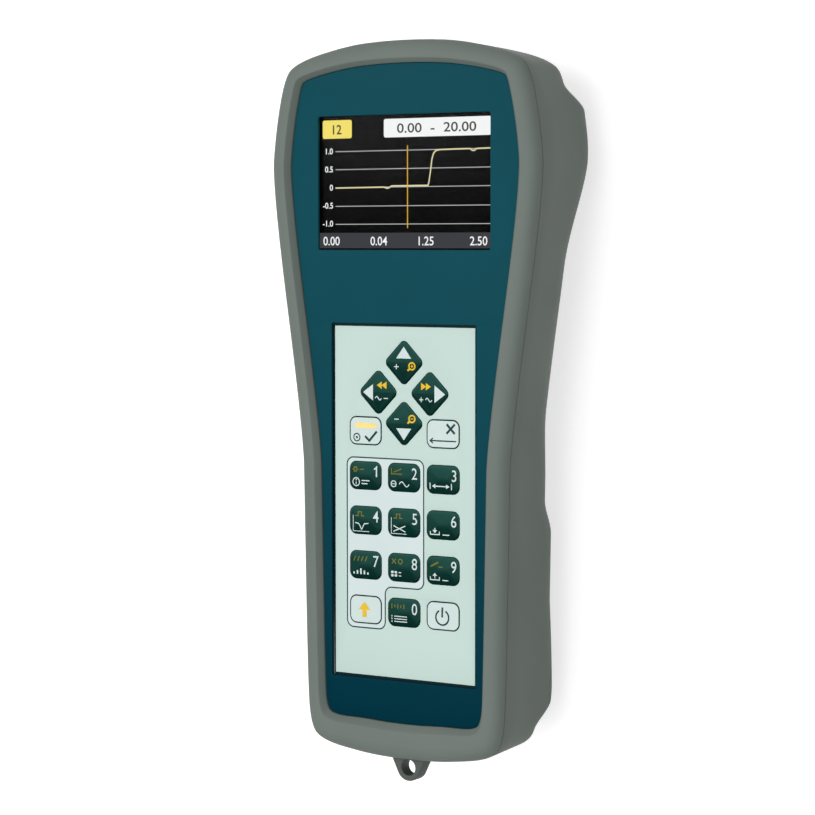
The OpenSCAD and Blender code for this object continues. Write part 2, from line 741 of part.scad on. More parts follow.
board_t = 1.6;
z_board = post_z - board_t - 0.05;
board_w = 69.4;
board_low_w = 58;
board_y0 = pad_y - 32;
board_y1 = pad_y + 8;
board_y2 = y_recess - 8.6;
board_y3 = y_top - 12;
module main_board() {
    color(board_green) difference() {
        translate([0, 0, z_board]) linear_extrude(board_t) union() {
            translate([-board_low_w / 2, board_y0]) square([board_low_w, board_y1 - board_y0 + 1]);
            translate([-board_w / 2, board_y1]) square([board_w, board_y2 - board_y1]);
            for (side = [-1, 1]) translate([side * (board_w / 2 + cup_r + 2) / 2, (board_y1 + board_y3) / 2])
                square([board_w / 2 - cup_r - 2, board_y3 - board_y1], center = true);
        }
        both_sides() for (place = board_screw_xy) translate([place[0], place[1], z_board - 1])
            cylinder(h = 4, r = 1.2);
    }
}
module board_screws() {
    color(steel) both_sides() for (place = board_screw_xy)
        translate([place[0], place[1], z_board - 0.05]) rotate([180, 0, 0]) screw(board_t + 3.4, 0.8, 1.9, 1.1);
}
// Packages on the face side and the coils and chips on the back side: x, y, width, length, height
chips_up = [[-14, screen_y - 4, 16, 16, 1.4], [10, screen_y - 2, 12, 9, 1.1], [10, screen_y - 16, 9, 9, 1.1],
    [-16, pad_y - 8, 10, 7, 1.5], [18, pad_y - 14, 8, 8, 3]];
chips_down = [[-20, pad_y - 6, 12, 12, 4], [8, pad_y - 4, 7, 7, 3], [18, pad_y - 20, 14, 6, 2.5]];
module board_chips() {
    color(black) {
        for (c = chips_up) translate([c[0] - c[2] / 2, c[1] - c[3] / 2, z_board + board_t + 0.02]) cube([c[2], c[3], c[4]]);
        for (c = chips_down) translate([c[0] - c[2] / 2, c[1] - c[3] / 2, z_board - c[4] - 0.02]) cube([c[2], c[3], c[4]]);
    }
}
shield_w = 44;
shield_l = 34;
shield_h = 5;
shield_y = screen_y - 3;
module shield_frame() {
    color(steel) translate([0, shield_y, z_board - shield_h - 0.02]) linear_extrude(shield_h) difference() {
        square([shield_w, shield_l], center = true);
        square([shield_w - 0.8, shield_l - 0.8], center = true);
    }
}
module shield_lid() {
    color(steel) translate([0, shield_y, z_board - shield_h - 0.05]) difference() {
        translate([0, 0, -0.4]) linear_extrude(2.4) square([shield_w + 1, shield_l + 1], center = true);
        linear_extrude(4) square([shield_w + 0.2, shield_l + 0.2], center = true);
    }
}
module buzzer() {
    color(black) translate([-14, pad_y + 14, z_board + board_t + 0.02]) difference() {
        cylinder(h = 4, r = 4.5);
        translate([0, 0, 3]) cylinder(h = 2, r = 1);
    }
}
module clock_cell() {
    color(steel) translate([20, pad_y + 10, z_board - 3.3]) cylinder(h = 3.2, r = 6.2);
}

// Flat cables: a bent strip of even thickness, its path given in Y and Z
cable_t = 0.2;
function path_normal(p, i) =
    let (run = p[min(i + 1, len(p) - 1)] - p[max(i - 1, 0)]) [-run[1], run[0]] / norm(run);
module flat_cable(w, path) {
    n = len(path);
    upper = [for (i = [0:n - 1]) path[i] + path_normal(path, i) * cable_t / 2];
    lower = [for (i = [n - 1:-1:0]) path[i] - path_normal(path, i) * cable_t / 2];
    translate([-w / 2, 0, 0]) rotate([90, 0, 90]) linear_extrude(w) polygon(concat(upper, lower));
}
module display_ribbon() {
    y_end = screen_y - lcd_h / 2;
    color([0.75, 0.5, 0.2]) translate([ribbon_x, 0, 0]) flat_cable(ribbon_w, [
        [y_end - 0.05, z_lcd + 0.1], [y_end - 2.6, z_lcd - 0.2], [y_end - 3.5, z_lcd - 1.2],
        [y_end - 3.6, z_board + board_t + 1.4], [y_end - 2.9, z_board + board_t + 0.4],
        [y_end - 1, z_board + board_t + 0.15]
    ]);
}
module keypad_ribbon() {
    y_end = pad_y + pad_gap + pad_rim - 1;
    z_end = z_key_board - key_board_t;
    color([0.75, 0.5, 0.2]) translate([key_pitch_x, 0, 0]) flat_cable(12, [
        [y_end - 6, z_end - 0.15], [y_end, z_end - 0.3], [y_end + 1.4, z_end - 1.2],
        [y_end + 1.6, z_board + board_t + 1.4], [y_end + 0.6, z_board + board_t + 0.4],
        [y_end - 4, z_board + board_t + 0.15]
    ]);
}

// ---------------------------------------------------------------- antenna socket

floor_t = 2.4;
thread_r = thread_d / 2;
rear_thread_r = 6.4;
flange_r = 9.2;
flange_t = 2;
nut_t = 2.6;
// Along the socket's axis, 0 at the floor of the recess and positive outwards
module on_axis() {
    translate([0, y_recess, axis_z]) rotate([-90, 0, 0]) children();
}
module connector_cup() {
    color(black) difference() {
        on_axis() difference() {
            translate([0, 0, -floor_t]) cylinder(h = recess_depth + floor_t, r = cup_r);
            cylinder(h = 30, r = recess_d / 2);
            translate([0, 0, -5]) cylinder(h = 10, r = rear_thread_r + slip_gap);
        }
        // The mouth follows the lean and the round edge of the case's end
        translate([-30, y_top - 0.5, axis_z + cup_r]) rotate([-2.5, 0, 0]) translate([0, 0, -60]) cube([60, 30, 80]);
        translate([-30, y_top - 1.5, axis_z - 7]) rotate([-14, 0, 0]) translate([0, 0, -60]) cube([60, 30, 80]);
    }
}
module rf_connector() {
    color(steel) on_axis() rotate_extrude() polygon([
        [2.2, -8], [rear_thread_r, -8], [rear_thread_r, 0.02], [flange_r, 0.02], [flange_r, flange_t],
        [thread_r, flange_t], [thread_r, flange_t + thread_len], [thread_r - 0.8, flange_t + thread_len + 0.6],
        [5.2, flange_t + thread_len + 0.6], [4.3, flange_t + thread_len - 0.6], [4.3, 3], [2.2, 3]
    ]);
}
module rf_insulator() {
    color("white") on_axis() rotate_extrude() polygon([[1.6, -8.4], [2.15, -8.4], [2.15, 3.05], [3.6, 3.05], [3.6, 5], [1.6, 5]]);
}
module rf_contact() {
    color(brass) on_axis() difference() {
        union() {
            translate([0, 0, -11]) cylinder(h = 11 + 9.5, r = 1.55);
        }
        translate([0, 0, 5.5]) cylinder(h = 6, r = 0.85);
    }
}
module connector_nut() {
    color(steel) on_axis() translate([0, 0, -floor_t - 0.85 - nut_t]) difference() {
        cylinder(h = nut_t, r = 9, $fn = 6);
        translate([0, 0, -1]) cylinder(h = nut_t + 2, r = rear_thread_r + 0.05);
    }
}
module connector_washer() {
    color(steel) on_axis() translate([0, 0, -floor_t - 0.75]) difference() {
        cylinder(h = 0.7, r = 8.6);
        translate([0, 0, -1]) cylinder(h = 3, r = rear_thread_r + 0.1);
    }
}
module rf_lead() {
    y_lead = y_recess - 12;
    color(brass) {
        translate([0, y_lead, axis_z - 0.8]) cylinder(h = z_board - axis_z + 0.75, r = 0.8);
        translate([0, y_lead - 0.8, axis_z]) rotate([-90, 0, 0]) cylinder(h = 1.75, r = 0.8);
    }
}

usb_w = 9;
usb_h = 3.4;
usb_l = 9;
y_usb = y_top - 6.2;
module usb_socket() {
    color(steel) translate([usb_x, y_usb, usb_z]) difference() {
        translate([-usb_w / 2, -usb_l, -usb_h / 2]) cube([usb_w, usb_l, usb_h]);
        translate([-usb_w / 2 + 0.35, -usb_l + 1, -usb_h / 2 + 0.35]) cube([usb_w - 0.7, usb_l, usb_h - 0.7]);
    }
}
module usb_tongue() {
    color(black) translate([usb_x - 3.2, y_usb - usb_l + 1.05, usb_z - 0.35]) cube([6.4, usb_l - 2, 0.7]);
}

// ---------------------------------------------------------------- battery bay

cell_pitch = cell_d + 0.5;
coil_room = 6.7;
plus_room = 1.6;
bay_len = cell_len + plus_room + coil_room;
y_bay_top = y_door_top - 4.4;
cell_z = back_z(y_bay_top - plus_room) + wall + 0.5 + cell_d / 2;
y_bay_end = y_bay_top - bay_len;
y_cell = y_bay_top - plus_room - cell_len;
tray_wall = 1.2;
tray_w = 3 * cell_pitch + 0.4;
z_tray_low = cell_z - 3;
z_tray = cell_z + cell_d / 2 + 0.3;
flange_z = z_door + door_gap;
flange_s = wall + 6.6;
module battery_tray() {
    color(black) difference() {
        union() {
            translate([-tray_w / 2 - tray_wall, y_bay_end - tray_wall, z_tray_low])
                cube([tray_w + 2 * tray_wall, bay_len + 2 * tray_wall, z_tray + tray_wall - z_tray_low]);
            translate([0, 0, flange_z]) linear_extrude(tray_wall) intersection() {
                polygon(outline(flange_s));
                translate([-cut_w / 2, y_bay_end + 2]) square([cut_w, bay_len - 4]);
            }
        }
        translate([-tray_w / 2, y_bay_end, z_tray_low - 1]) cube([tray_w, bay_len, z_tray - z_tray_low + 1]);
    }
}
module cell_places() {
    for (i = [-1:1]) translate([i * cell_pitch, y_cell, cell_z]) rotate([-90, 0, 0])
        translate([0, 0, i == 0 ? cell_len : 0]) rotate([i == 0 ? 180 : 0, 0, 0]) children();
}
module battery_cells() {
    color([0.25, 0.3, 0.35]) cell_places() {
        cylinder(h = cell_len - 1.2, r = cell_d / 2);
        translate([0, 0, cell_len - 1.2 - eps]) cylinder(h = 1.2, r = 2.7);
    }
}

// Round wire wound along Z: rings of the wire's section along a helix
wire_r = 0.4;
coil_r = 3.4;
coil_turns = 3;
coil_sides = 6;
coil_steps = 12;
module coil(length) {
    rings = coil_turns * coil_steps;
    points = [
        for (i = [0:rings])
            let (a = 360 * i / coil_steps, z = wire_r + (length - 2 * wire_r) * i / rings)
            for (j = [0:coil_sides - 1])
                let (b = 360 * j / coil_sides, r = coil_r + wire_r * cos(b))
                [r * cos(a), r * sin(a), z + wire_r * sin(b)]
    ];
    polyhedron(points = points, faces = concat(
        [[for (j = [coil_sides - 1:-1:0]) j]],
        flip([for (i = [0:rings - 1]) for (f = band_faces(i * coil_sides, (i + 1) * coil_sides, coil_sides)) f]),
        [[for (j = [0:coil_sides - 1]) rings * coil_sides + j]]
    ));
}
spring_len = y_cell - y_bay_end - 0.6;
contact_t = 0.4;
contact_h = 10;
module battery_springs() {
    color(steel) {
        for (i = [-1, 1]) translate([i * cell_pitch, y_bay_end + 0.5, cell_z]) rotate([-90, 0, 0]) coil(spring_len);
        translate([0, y_cell + cell_len + 0.05, cell_z]) rotate([-90, 0, 0]) coil(y_bay_top - y_cell - cell_len - 0.6);
    }
}
module battery_contacts() {
    low_z = cell_z - contact_h / 2;
    one = [cell_pitch - 2, contact_t, contact_h];
    two = [2 * cell_pitch - 2, contact_t, contact_h];
    color(steel) {
        translate([-tray_w / 2 + 1, y_bay_end + 0.05, low_z]) cube(one);
        translate([-cell_pitch / 2 + 1, y_bay_end + 0.05, low_z]) cube(two);
        translate([-tray_w / 2 + 1, y_bay_top - 0.05 - contact_t, low_z]) cube(two);
        translate([cell_pitch / 2 + 1, y_bay_top - 0.05 - contact_t, low_z]) cube(one);
    }
}
module battery_leads() {
    z_lead = z_tray + tray_wall + 0.65;
    y_lead = pad_y - 29;
    for (lead = [[-17, "red"], [-13, [0.1, 0.1, 0.1]]]) color(lead[1]) translate([lead[0], 0, 0]) {
        translate([0, y_bay_top - 4, z_lead]) rotate([-90, 0, 0]) cylinder(h = y_lead - y_bay_top + 4.6, r = 0.6);
        translate([0, y_lead, z_lead]) cylinder(h = z_board - z_lead - 0.05, r = 0.6);
    }
}

// ---------------------------------------------------------------- nodes

front_shell();
rear_shell();
battery_door();
strap_lug();
face_panel();
case_seal();
case_screws();
chassis();
chassis_screws();
display_window();
lcd_panel();
backlight();
lcd_frame();
lcd_clamp();
clamp_screws();
keypad_overlay();
for (k = square_keys) square_key(k);
for (k = diamond_keys) diamond_key(k);
key_domes();
key_board();
key_board_screws();
main_board();
board_screws();
board_chips();
shield_frame();
shield_lid();
display_ribbon();
keypad_ribbon();
buzzer();
clock_cell();
connector_cup();
rf_connector();
rf_insulator();
rf_contact();
connector_nut();
connector_washer();
rf_lead();
usb_socket();
usb_tongue();
battery_tray();
battery_cells();
battery_springs();
battery_contacts();
battery_leads();
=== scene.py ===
"""The looks of a handheld antenna analyzer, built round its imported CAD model.

Lengths are millimetres until finish_mesh turns a mesh into metres. +Z comes out of the face, +Y points to the
end with the socket, and +X is to the right of the keypad.
"""

from math import acos, atan2, cos, degrees, hypot, pi, radians, sin, sqrt, tan

import bmesh
import bpy
import numpy as np
from mathutils import Matrix, Vector


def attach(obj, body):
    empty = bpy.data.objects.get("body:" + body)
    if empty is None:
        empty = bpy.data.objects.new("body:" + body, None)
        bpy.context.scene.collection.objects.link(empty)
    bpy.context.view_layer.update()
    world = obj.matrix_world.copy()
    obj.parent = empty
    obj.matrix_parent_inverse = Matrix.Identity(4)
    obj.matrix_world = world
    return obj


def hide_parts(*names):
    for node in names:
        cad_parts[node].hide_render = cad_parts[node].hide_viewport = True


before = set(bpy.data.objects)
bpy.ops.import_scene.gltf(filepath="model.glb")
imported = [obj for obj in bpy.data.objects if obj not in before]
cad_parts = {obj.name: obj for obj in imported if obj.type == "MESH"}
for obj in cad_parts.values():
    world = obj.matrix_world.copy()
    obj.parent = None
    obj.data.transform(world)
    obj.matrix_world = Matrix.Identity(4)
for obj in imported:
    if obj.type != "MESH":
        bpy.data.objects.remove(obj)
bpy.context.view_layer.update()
MM = 0.001
CASE = "case"  # the body that all fixed pieces ride on

# ---- sizes, as in the CAD source

BODY_LEN, LUG_REACH = 230.0, 7.5
SHOULDER_W, GRIP_W, HEEL_W = 100.8, 78.0, 75.2
BODY_T, WAIST_T, WALL = 55.0, 42.3, 2.4
SIDE_DRAFT, BACK_ROUND, END_LEAN = radians(5.5), 21.5, 0.34
RIM_T, RIM_W, RIM_FOOT, RIM_ROUND_W = 4.1, 7.5, 11.6, 5.4
BEVEL_W, LEDGE_W, LEDGE_T = 1.5, 3, 1
LIP_H, LIP_T, LIP_GAP = 3.9, 1.2, 0.2
K_TOP, K_FOOT = 0.96, RIM_FOOT / RIM_W  # factors on the rim's width at the two ends
BOSS_R, BOSS_TOP = 4.6, 39.9
HEAD_BORE_R, HEAD_BORE_TOP = 3.2, 28
SHANK_BORE_R, SHANK_BORE_LOW, SHANK_BORE_TOP = 1.7, 20, 42

SCREEN_W, SCREEN_H = 64.8, 42.9
PAD_W, PAD_H, PAD_GAP = 53.0, 113.0, 0.9
KEY_W, KEY_H, KEY_R = 12.1, 9.0, 2.4
DIAMOND_SIDE, DIAMOND_R, DIAMOND_REACH = 10.6, 1.7, 9.75
PITCH_X, PITCH_Y = 14.7, 14.5
KEY_GAP, CROWN = 0.15, 0.17
STEM_R, STEM_FOOT_R, STEM_FOOT_T = 2.4, 3.3, 0.5

Y_TOP = (BODY_LEN + LUG_REACH) / 2
Y_FOOT = Y_TOP - BODY_LEN
PAD_Y = Y_TOP - 90.8  # the upper edge of the keypad sheet
FIRST_ROW_Y, DIAMOND_Y = PAD_Y - 48.2, PAD_Y - 21.15
SCREEN_Y = Y_TOP - 44.85
Y_DOOR_TOP, Y_DOOR_END = PAD_Y - 57.5, Y_FOOT + 15.2
Y_HEEL = Y_DOOR_END + 3.1
Y_RECESS = Y_TOP - 16.5  # the bottom of the cup that holds the socket

Z_RIM, Z_PART = BODY_T, BODY_T - RIM_T
Z_FACE = BODY_T - 2.4
Z_LEDGE = Z_FACE - 1.2
Z_PAD = Z_LEDGE + 0.3
Z_KEY, Z_KEY_LOW, Z_STEM = Z_PAD + 0.25, Z_LEDGE - 0.45, 47.6
Z_DISPLAY = Z_LEDGE - 0.7
Z_DOOR, DOOR_GAP = 16.0, 0.15
LUG_W, LUG_T, LUG_R, LUG_HOLE_R = 13.2, 5, 4.4, 2.3
Z_LUG = Z_PART - 6.4
FLANGE_REACH, FLANGE_LOW, FLANGE_TOP = 3, 3.25, 5.05
AXIS_Z, CUP_R = BODY_T - 22, 15.1
USB_X, USB_Z, USB_W, USB_H = -30.0, 41.8, 10.4, 4.8


def side_x(share):
    """Half the width of the grip at a share of the way from heel to waist."""
    return (HEEL_W + share * (GRIP_W - HEEL_W)) / 2


# The outline's control points: x, y, how the front shrinks in x and y, how the back does, steps to the next.
STATIONS = [
    (6, Y_FOOT, 0, -1, 0, -0.91, 1),
    (16, Y_FOOT + 0.6, 0.1, -1, 0.1, -0.91, 2),
    (HEEL_W / 2 - 6.1, Y_FOOT + 2.9, 0.7, -0.8, 0.89, -0.57, 3),
    (HEEL_W / 2 - 1, Y_FOOT + 7.7, 0.93, -0.6, 1.07, -0.55, 4),
    (HEEL_W / 2, Y_FOOT + 27.2, 1, 0, 1, 0, 5),
    (side_x(0.58), PAD_Y - 68, 1, 0, 1, 0, 6),
    (side_x(0.74), PAD_Y - 56, 1, 0, 1, 0, 4),
    (GRIP_W / 2, PAD_Y - 36, 1, 0, 1, 0, 6),
    (SHOULDER_W / 2 + 0.7, Y_TOP - 45.8, 1, 0, 1, 0, 8),
    (SHOULDER_W / 2 - 0.7, Y_TOP - 28.8, 1, 0, 1, 0, 4),
    (SHOULDER_W / 2 - 4.1, Y_TOP - 11.3, 0.95, 0.33, 0.89, 0.44, 4),
    (SHOULDER_W / 2 - 8.6, Y_TOP - 5.6, 0.57, 0.8, 0.7, 0.82, 3),
    (22, Y_TOP - 0.9, 0.05, 1, 0.05, 0.91, 2),
    (7.5, Y_TOP + 0.1, 0, 1, 0, 0.91, 1),
]


def outline_curve(fine):
    """Points of the outline with the two directions it shrinks in, once around, starting at the foot."""
    ctrl = [np.array(s[:6], float) for s in STATIONS]
    flip = np.array([-1, 1, -1, 1, -1, 1], float)
    ctrl = [ctrl[0] * flip] + ctrl + [ctrl[-1] * flip]
    half = []
    for i, s in enumerate(STATIONS):
        a, b, c = (ctrl[i] + ctrl[i + 1]) / 2, ctrl[i + 1], (ctrl[i + 1] + ctrl[i + 2]) / 2
        for j in range(s[6] * fine):
            t = j / (s[6] * fine)
            half.append((1 - t) ** 2 * a + 2 * t * (1 - t) * b + t * t * c)
    half.append((ctrl[-2] + ctrl[-1]) / 2)
    return np.array(half + [p * flip for p in half[-2:0:-1]])


CURVE = outline_curve(4)


def inset(p, s, k_top=1.0, k_foot=1.0):
    """A point of the outline moved in by s, times a factor at either end."""
    return (p[0] - s * p[2], p[1] - s * (k_top if p[3] > 0 else k_foot) * p[3])


def ramp(y, a, b):
    """0 before a, 1 after b, and straight between them."""
    return max(0.0, min(1.0, (y - a) / (b - a)))


def ease(y, a, b):
    """0 before a, 1 after b, and smooth between them."""
    u = ramp(y, a, b)
    return u * u * (3 - 2 * u)


# The back's profile: how far each form goes from the last, and where in y it starts and ends.
HUMP_UP, HUMP_DOWN = (Y_TOP - 72.1, Y_TOP - 29), (Y_TOP - 22.8, Y_TOP - 15.9)
GRIP_SWELL, GRIP_SWELL_Y = 3.5, (PAD_Y - 26, PAD_Y - 48.3)
DOOR_STEP, DOOR_STEP_Y = 5.3, (Y_DOOR_TOP + 1.4, Y_DOOR_TOP - 10.3)
DOOR_SLOPE_Y = (Y_DOOR_TOP - 32, Y_HEEL + 3)
HEEL_FALL, HEEL_FALL_Y = 10.0, (Y_HEEL, Y_DOOR_END - 3.5)


def back_z(y):
    """The level of the middle of the back: upper hump, waist, door hump and heel."""
    rise = BODY_T - WAIST_T
    upper = rise * ease(y, *HUMP_UP) * (1 - ease(y, *HUMP_DOWN))
    lower = GRIP_SWELL * ease(y, *GRIP_SWELL_Y) + DOOR_STEP * ease(y, *DOOR_STEP_Y)
    lower += (rise - GRIP_SWELL - DOOR_STEP) * ramp(y, *DOOR_SLOPE_Y) - HEEL_FALL * ease(y, *HEEL_FALL_Y)
    return rise - upper - lower


# ---- materials


def srgb(r, g, b):
    """A colour given in display levels, 0 to 255, as the renderer's linear one."""

    def lin(c):
        c /= 255
        return c / 12.92 if c <= 0.04045 else ((c + 0.055) / 1.055) ** 2.4

    return (lin(r), lin(g), lin(b), 1.0)


def new_material(name):
    m = bpy.data.materials.new(name)
    m.use_nodes = True
    nt = m.node_tree
    nt.nodes.clear()
    return m, nt, nt.nodes.new("ShaderNodeOutputMaterial")


def new_node(nt, kind, values=None):
    """A node of a kind, with values on its input sockets."""
    n = nt.nodes.new("ShaderNode" + kind)
    for socket, value in (values or {}).items():
        n.inputs[socket].default_value = value
    return n


def map_range(nt, source, values):
    n = new_node(nt, "MapRange", values)
    nt.links.new(source, n.inputs["Value"])
    return n.outputs[0]


def noise(nt, pos, scale, detail):
    n = new_node(nt, "TexNoise", {"Scale": scale, "Detail": detail})
    nt.links.new(pos, n.inputs["Vector"])
    return n.outputs["Fac"]


def math_node(nt, operation, a, b):
    """Two sources, or a source and a number, combined."""
    n = new_node(nt, "Math")
    n.operation = operation
    nt.links.new(a, n.inputs[0])
    if isinstance(b, bpy.types.NodeSocket):
        nt.links.new(b, n.inputs[1])
    else:
        n.inputs[1].default_value = b
    return n.outputs[0]


def mix_shaders(nt, share, a, b):
    n = new_node(nt, "MixShader")
    for i, source in enumerate((share, a, b)):
        nt.links.new(source, n.inputs[i])
    return n.outputs[0]


def along_y(nt, vector, low, high, far, tone):
    """A colour that goes from far to tone as the vector's Y goes from low to high."""
    split = new_node(nt, "SeparateXYZ")
    nt.links.new(vector, split.inputs[0])
    share = map_range(nt, split.outputs["Y"], {"From Min": low, "From Max": high})
    mix = new_node(nt, "Mix")
    mix.data_type = "RGBA"
    nt.links.new(share, mix.inputs["Factor"])
    ends = [s for s in mix.inputs if s.type == "RGBA"]
    ends[0].default_value = far
    nt.links.new(tone, ends[1])
    return [s for s in mix.outputs if s.type == "RGBA"][0]


PATCH_LOW, PATCH_HIGH, PATCH_DETAIL, GRAIN_DETAIL, COAT_ROUGH = 0.3, 0.7, 3, 2, 0.12


def surface(
    name, colour, rough, vary, patch, grain, bump, depth, specular,
    metal=0.0, rough_vary=0.08, coat=0.0, streak=None, drift=None, lean=None,
):
    """Plastic, rubber, metal or ink: colour and roughness vary in soft patches, with fine grain in relief.

    streak stretches the patterns. drift is painted shade along the part, (low y, high y, colour at low y) in
    millimetres, so that the colour darkens towards low y. lean is painted shade by the normal, (low, high, colour
    at low) by how far the surface turns to the top end, so that faces turned towards the foot are darker.
    """
    m, nt, out = new_material(name)
    values = {"Metallic": metal, "Specular IOR Level": specular}
    if coat:
        values.update({"Coat Weight": coat, "Coat Roughness": COAT_ROUGH})
    bsdf = new_node(nt, "BsdfPrincipled", values)
    nt.links.new(bsdf.outputs[0], out.inputs[0])
    pos = new_node(nt, "TexCoord").outputs["Object"]
    if streak:
        turn = new_node(nt, "Mapping", {"Scale": streak})
        nt.links.new(pos, turn.inputs["Vector"])
        pos = turn.outputs[0]
    soft = noise(nt, pos, patch, PATCH_DETAIL)
    tones = new_node(nt, "ValToRGB")
    for end, place, sign in zip(tones.color_ramp.elements, (PATCH_LOW, PATCH_HIGH), (-1, 1)):
        end.position = place
        end.color = [min(1, c * (1 + sign * vary)) for c in colour[:3]] + [1]
    nt.links.new(soft, tones.inputs["Fac"])
    tone = tones.outputs[0]
    # painted shade: the colour darkens to the one given at low y
    if drift:
        low, high, far = drift
        tone = along_y(nt, pos, low * MM, high * MM, far, tone)
    # painted shade by the normal: where the surface turns towards the foot it takes the darker colour
    if lean:
        tone = along_y(nt, new_node(nt, "NewGeometry").outputs["Normal"], *lean, tone)
    nt.links.new(tone, bsdf.inputs["Base Color"])
    spread = {
        "From Min": PATCH_LOW, "From Max": PATCH_HIGH,
        "To Min": max(0.02, rough - rough_vary), "To Max": min(1, rough + rough_vary),
    }
    nt.links.new(map_range(nt, soft, spread), bsdf.inputs["Roughness"])
    relief = new_node(nt, "Bump", {"Strength": bump, "Distance": depth * MM})
    nt.links.new(noise(nt, pos, grain, GRAIN_DETAIL), relief.inputs["Height"])
    nt.links.new(relief.outputs[0], bsdf.inputs["Normal"])
    return m


PIXEL_SCALE, PIXEL_GAP = 1400, 0.94


def glow(name, colour):
    """A lit part of the display, with the faint grid of its pixels."""
    m, nt, out = new_material(name)
    pos = new_node(nt, "TexCoord").outputs["Object"]
    waves = []
    for axis in "XY":
        w = new_node(nt, "TexWave", {"Scale": PIXEL_SCALE})
        w.bands_direction = axis
        nt.links.new(pos, w.inputs["Vector"])
        waves.append(w.outputs["Fac"])
    tone = new_node(nt, "ValToRGB")
    tone.color_ramp.elements[0].color = [c * PIXEL_GAP for c in colour[:3]] + [1]
    tone.color_ramp.elements[1].color = colour
    nt.links.new(math_node(nt, "MULTIPLY", *waves), tone.inputs["Fac"])
    light = new_node(nt, "Emission", {"Strength": 1.0})
    nt.links.new(tone.outputs[0], light.inputs["Color"])
    nt.links.new(light.outputs[0], out.inputs[0])
    return m


def clear_window(name):
    """A lens that is clear from the front and glossy at a flat angle."""
    m, nt, out = new_material(name)
    see = new_node(nt, "BsdfTransparent", {"Color": (0.97, 0.98, 0.98, 1)})
    gloss = new_node(nt, "BsdfGlossy", {"Color": (0.5, 0.5, 0.5, 1)})
    haze = noise(nt, new_node(nt, "TexCoord").outputs["Object"], 90, 2)
    nt.links.new(map_range(nt, haze, {"To Min": 0.05, "To Max": 0.12}), gloss.inputs["Roughness"])
    steep = math_node(nt, "POWER", new_node(nt, "LayerWeight").outputs["Facing"], 4)
    share = map_range(nt, steep, {"To Min": 0.001, "To Max": 0.4})
    nt.links.new(mix_shaders(nt, share, see.outputs[0], gloss.outputs[0]), out.inputs[0])
    return m


# Each material's colour in display levels, roughness, spread of tone, patch scale, the grain's scale, strength
# and depth, specular level, and the rest.
MATERIALS = {
    "case": ((111, 120, 114), 0.62, 0.04, 28, 5200, 0.35, 0.02, 0.2),
    # lug: the case's plastic darkened as painted shade, not a colour of its own
    "lug": ((86, 92, 88), 0.62, 0.04, 28, 5200, 0.35, 0.02, 0.2),
    # face: painted shade, the teal is lighter towards the top end and darkens to the colour at y -100 towards the
    # foot
    "face": ((18, 75, 86), 0.42, 0.05, 22, 3600, 0.2, 0.012, 0.02, {"drift": (-100, 25, srgb(0, 49, 63))}),
    "keypad_sheet": ((196, 218, 210), 0.55, 0.015, 35, 4200, 0.12, 0.008, 0.3),
    "pale_print": ((210, 225, 224), 0.55, 0.02, 60, 4200, 0.1, 0.006, 0.3),
    # dark_key: painted shade, each crowned key is darker where it turns towards the foot and lighter towards the
    # top end
    "dark_key": (
        (34, 78, 71), 0.3, 0.05, 160, 3800, 0.1, 0.003, 0.05, {"lean": (-0.035, 0.045, srgb(0, 40, 34))},
    ),
    "pale_key": ((208, 224, 221), 0.5, 0.02, 160, 3800, 0.12, 0.006, 0.2),
    "key_edge": ((30, 62, 57), 0.6, 0.06, 160, 3800, 0.1, 0.006, 0.15),
    "white_ink": ((210, 225, 223), 0.5, 0.03, 400, 6000, 0.1, 0.003, 0.2),
    "yellow_ink": ((232, 190, 40), 0.5, 0.05, 400, 6000, 0.1, 0.003, 0.2),
    "pale_yellow_ink": ((252, 226, 138), 0.5, 0.04, 400, 6000, 0.1, 0.003, 0.2),
    "olive_ink": ((118, 112, 30), 0.5, 0.08, 400, 6000, 0.1, 0.003, 0.2),
    "dark_ink": ((22, 62, 58), 0.5, 0.06, 400, 6000, 0.1, 0.003, 0.2),
    "black_plastic": ((28, 30, 32), 0.55, 0.12, 80, 3000, 0.3, 0.02, 0.5),
    # painted shade: a dark teal for the chassis, so that the gap round the keypad sheet looks like shadow
    "inner_plastic": ((4, 34, 40), 0.55, 0.12, 80, 3000, 0.3, 0.02, 0.1),
    "rubber": ((30, 31, 32), 0.8, 0.12, 90, 2400, 0.4, 0.02, 0.2),
    "steel": (
        (176, 178, 180), 0.32, 0.05, 240, 3000, 0.12, 0.01, 0.5,
        {"metal": 1.0, "rough_vary": 0.1, "streak": (1, 6, 1)},
    ),
    "nickel": ((198, 197, 190), 0.22, 0.04, 200, 3500, 0.08, 0.008, 0.5, {"metal": 1.0, "rough_vary": 0.07}),
    "gold": ((214, 176, 92), 0.25, 0.05, 200, 3500, 0.08, 0.008, 0.5, {"metal": 1.0}),
    "white_insulator": ((232, 232, 228), 0.45, 0.02, 200, 3000, 0.1, 0.01, 0.5),
    "board": ((24, 92, 58), 0.4, 0.18, 500, 1800, 0.3, 0.03, 0.5),
    "amber_film": ((196, 134, 58), 0.35, 0.12, 300, 1500, 0.25, 0.02, 0.5, {"streak": (9, 1, 1)}),
    "diffuser": ((236, 238, 238), 0.6, 0.02, 120, 2600, 0.1, 0.01, 0.5),
    "display_glass": ((9, 8, 8), 0.2, 0.1, 90, 3000, 0.01, 0.001, 0.02),
    "cell_jacket": ((64, 78, 92), 0.3, 0.06, 120, 2200, 0.1, 0.01, 0.5, {"coat": 0.4}),
    "wire_jacket": ((150, 36, 34), 0.5, 0.06, 300, 2600, 0.15, 0.01, 0.5),
}
MAT = {"window": clear_window("window")}
for kind, (rgb, *numbers) in MATERIALS.items():
    own = numbers.pop() if isinstance(numbers[-1], dict) else {}
    MAT[kind] = surface(kind, srgb(*rgb), *numbers, **own)

# ---- mesh helpers


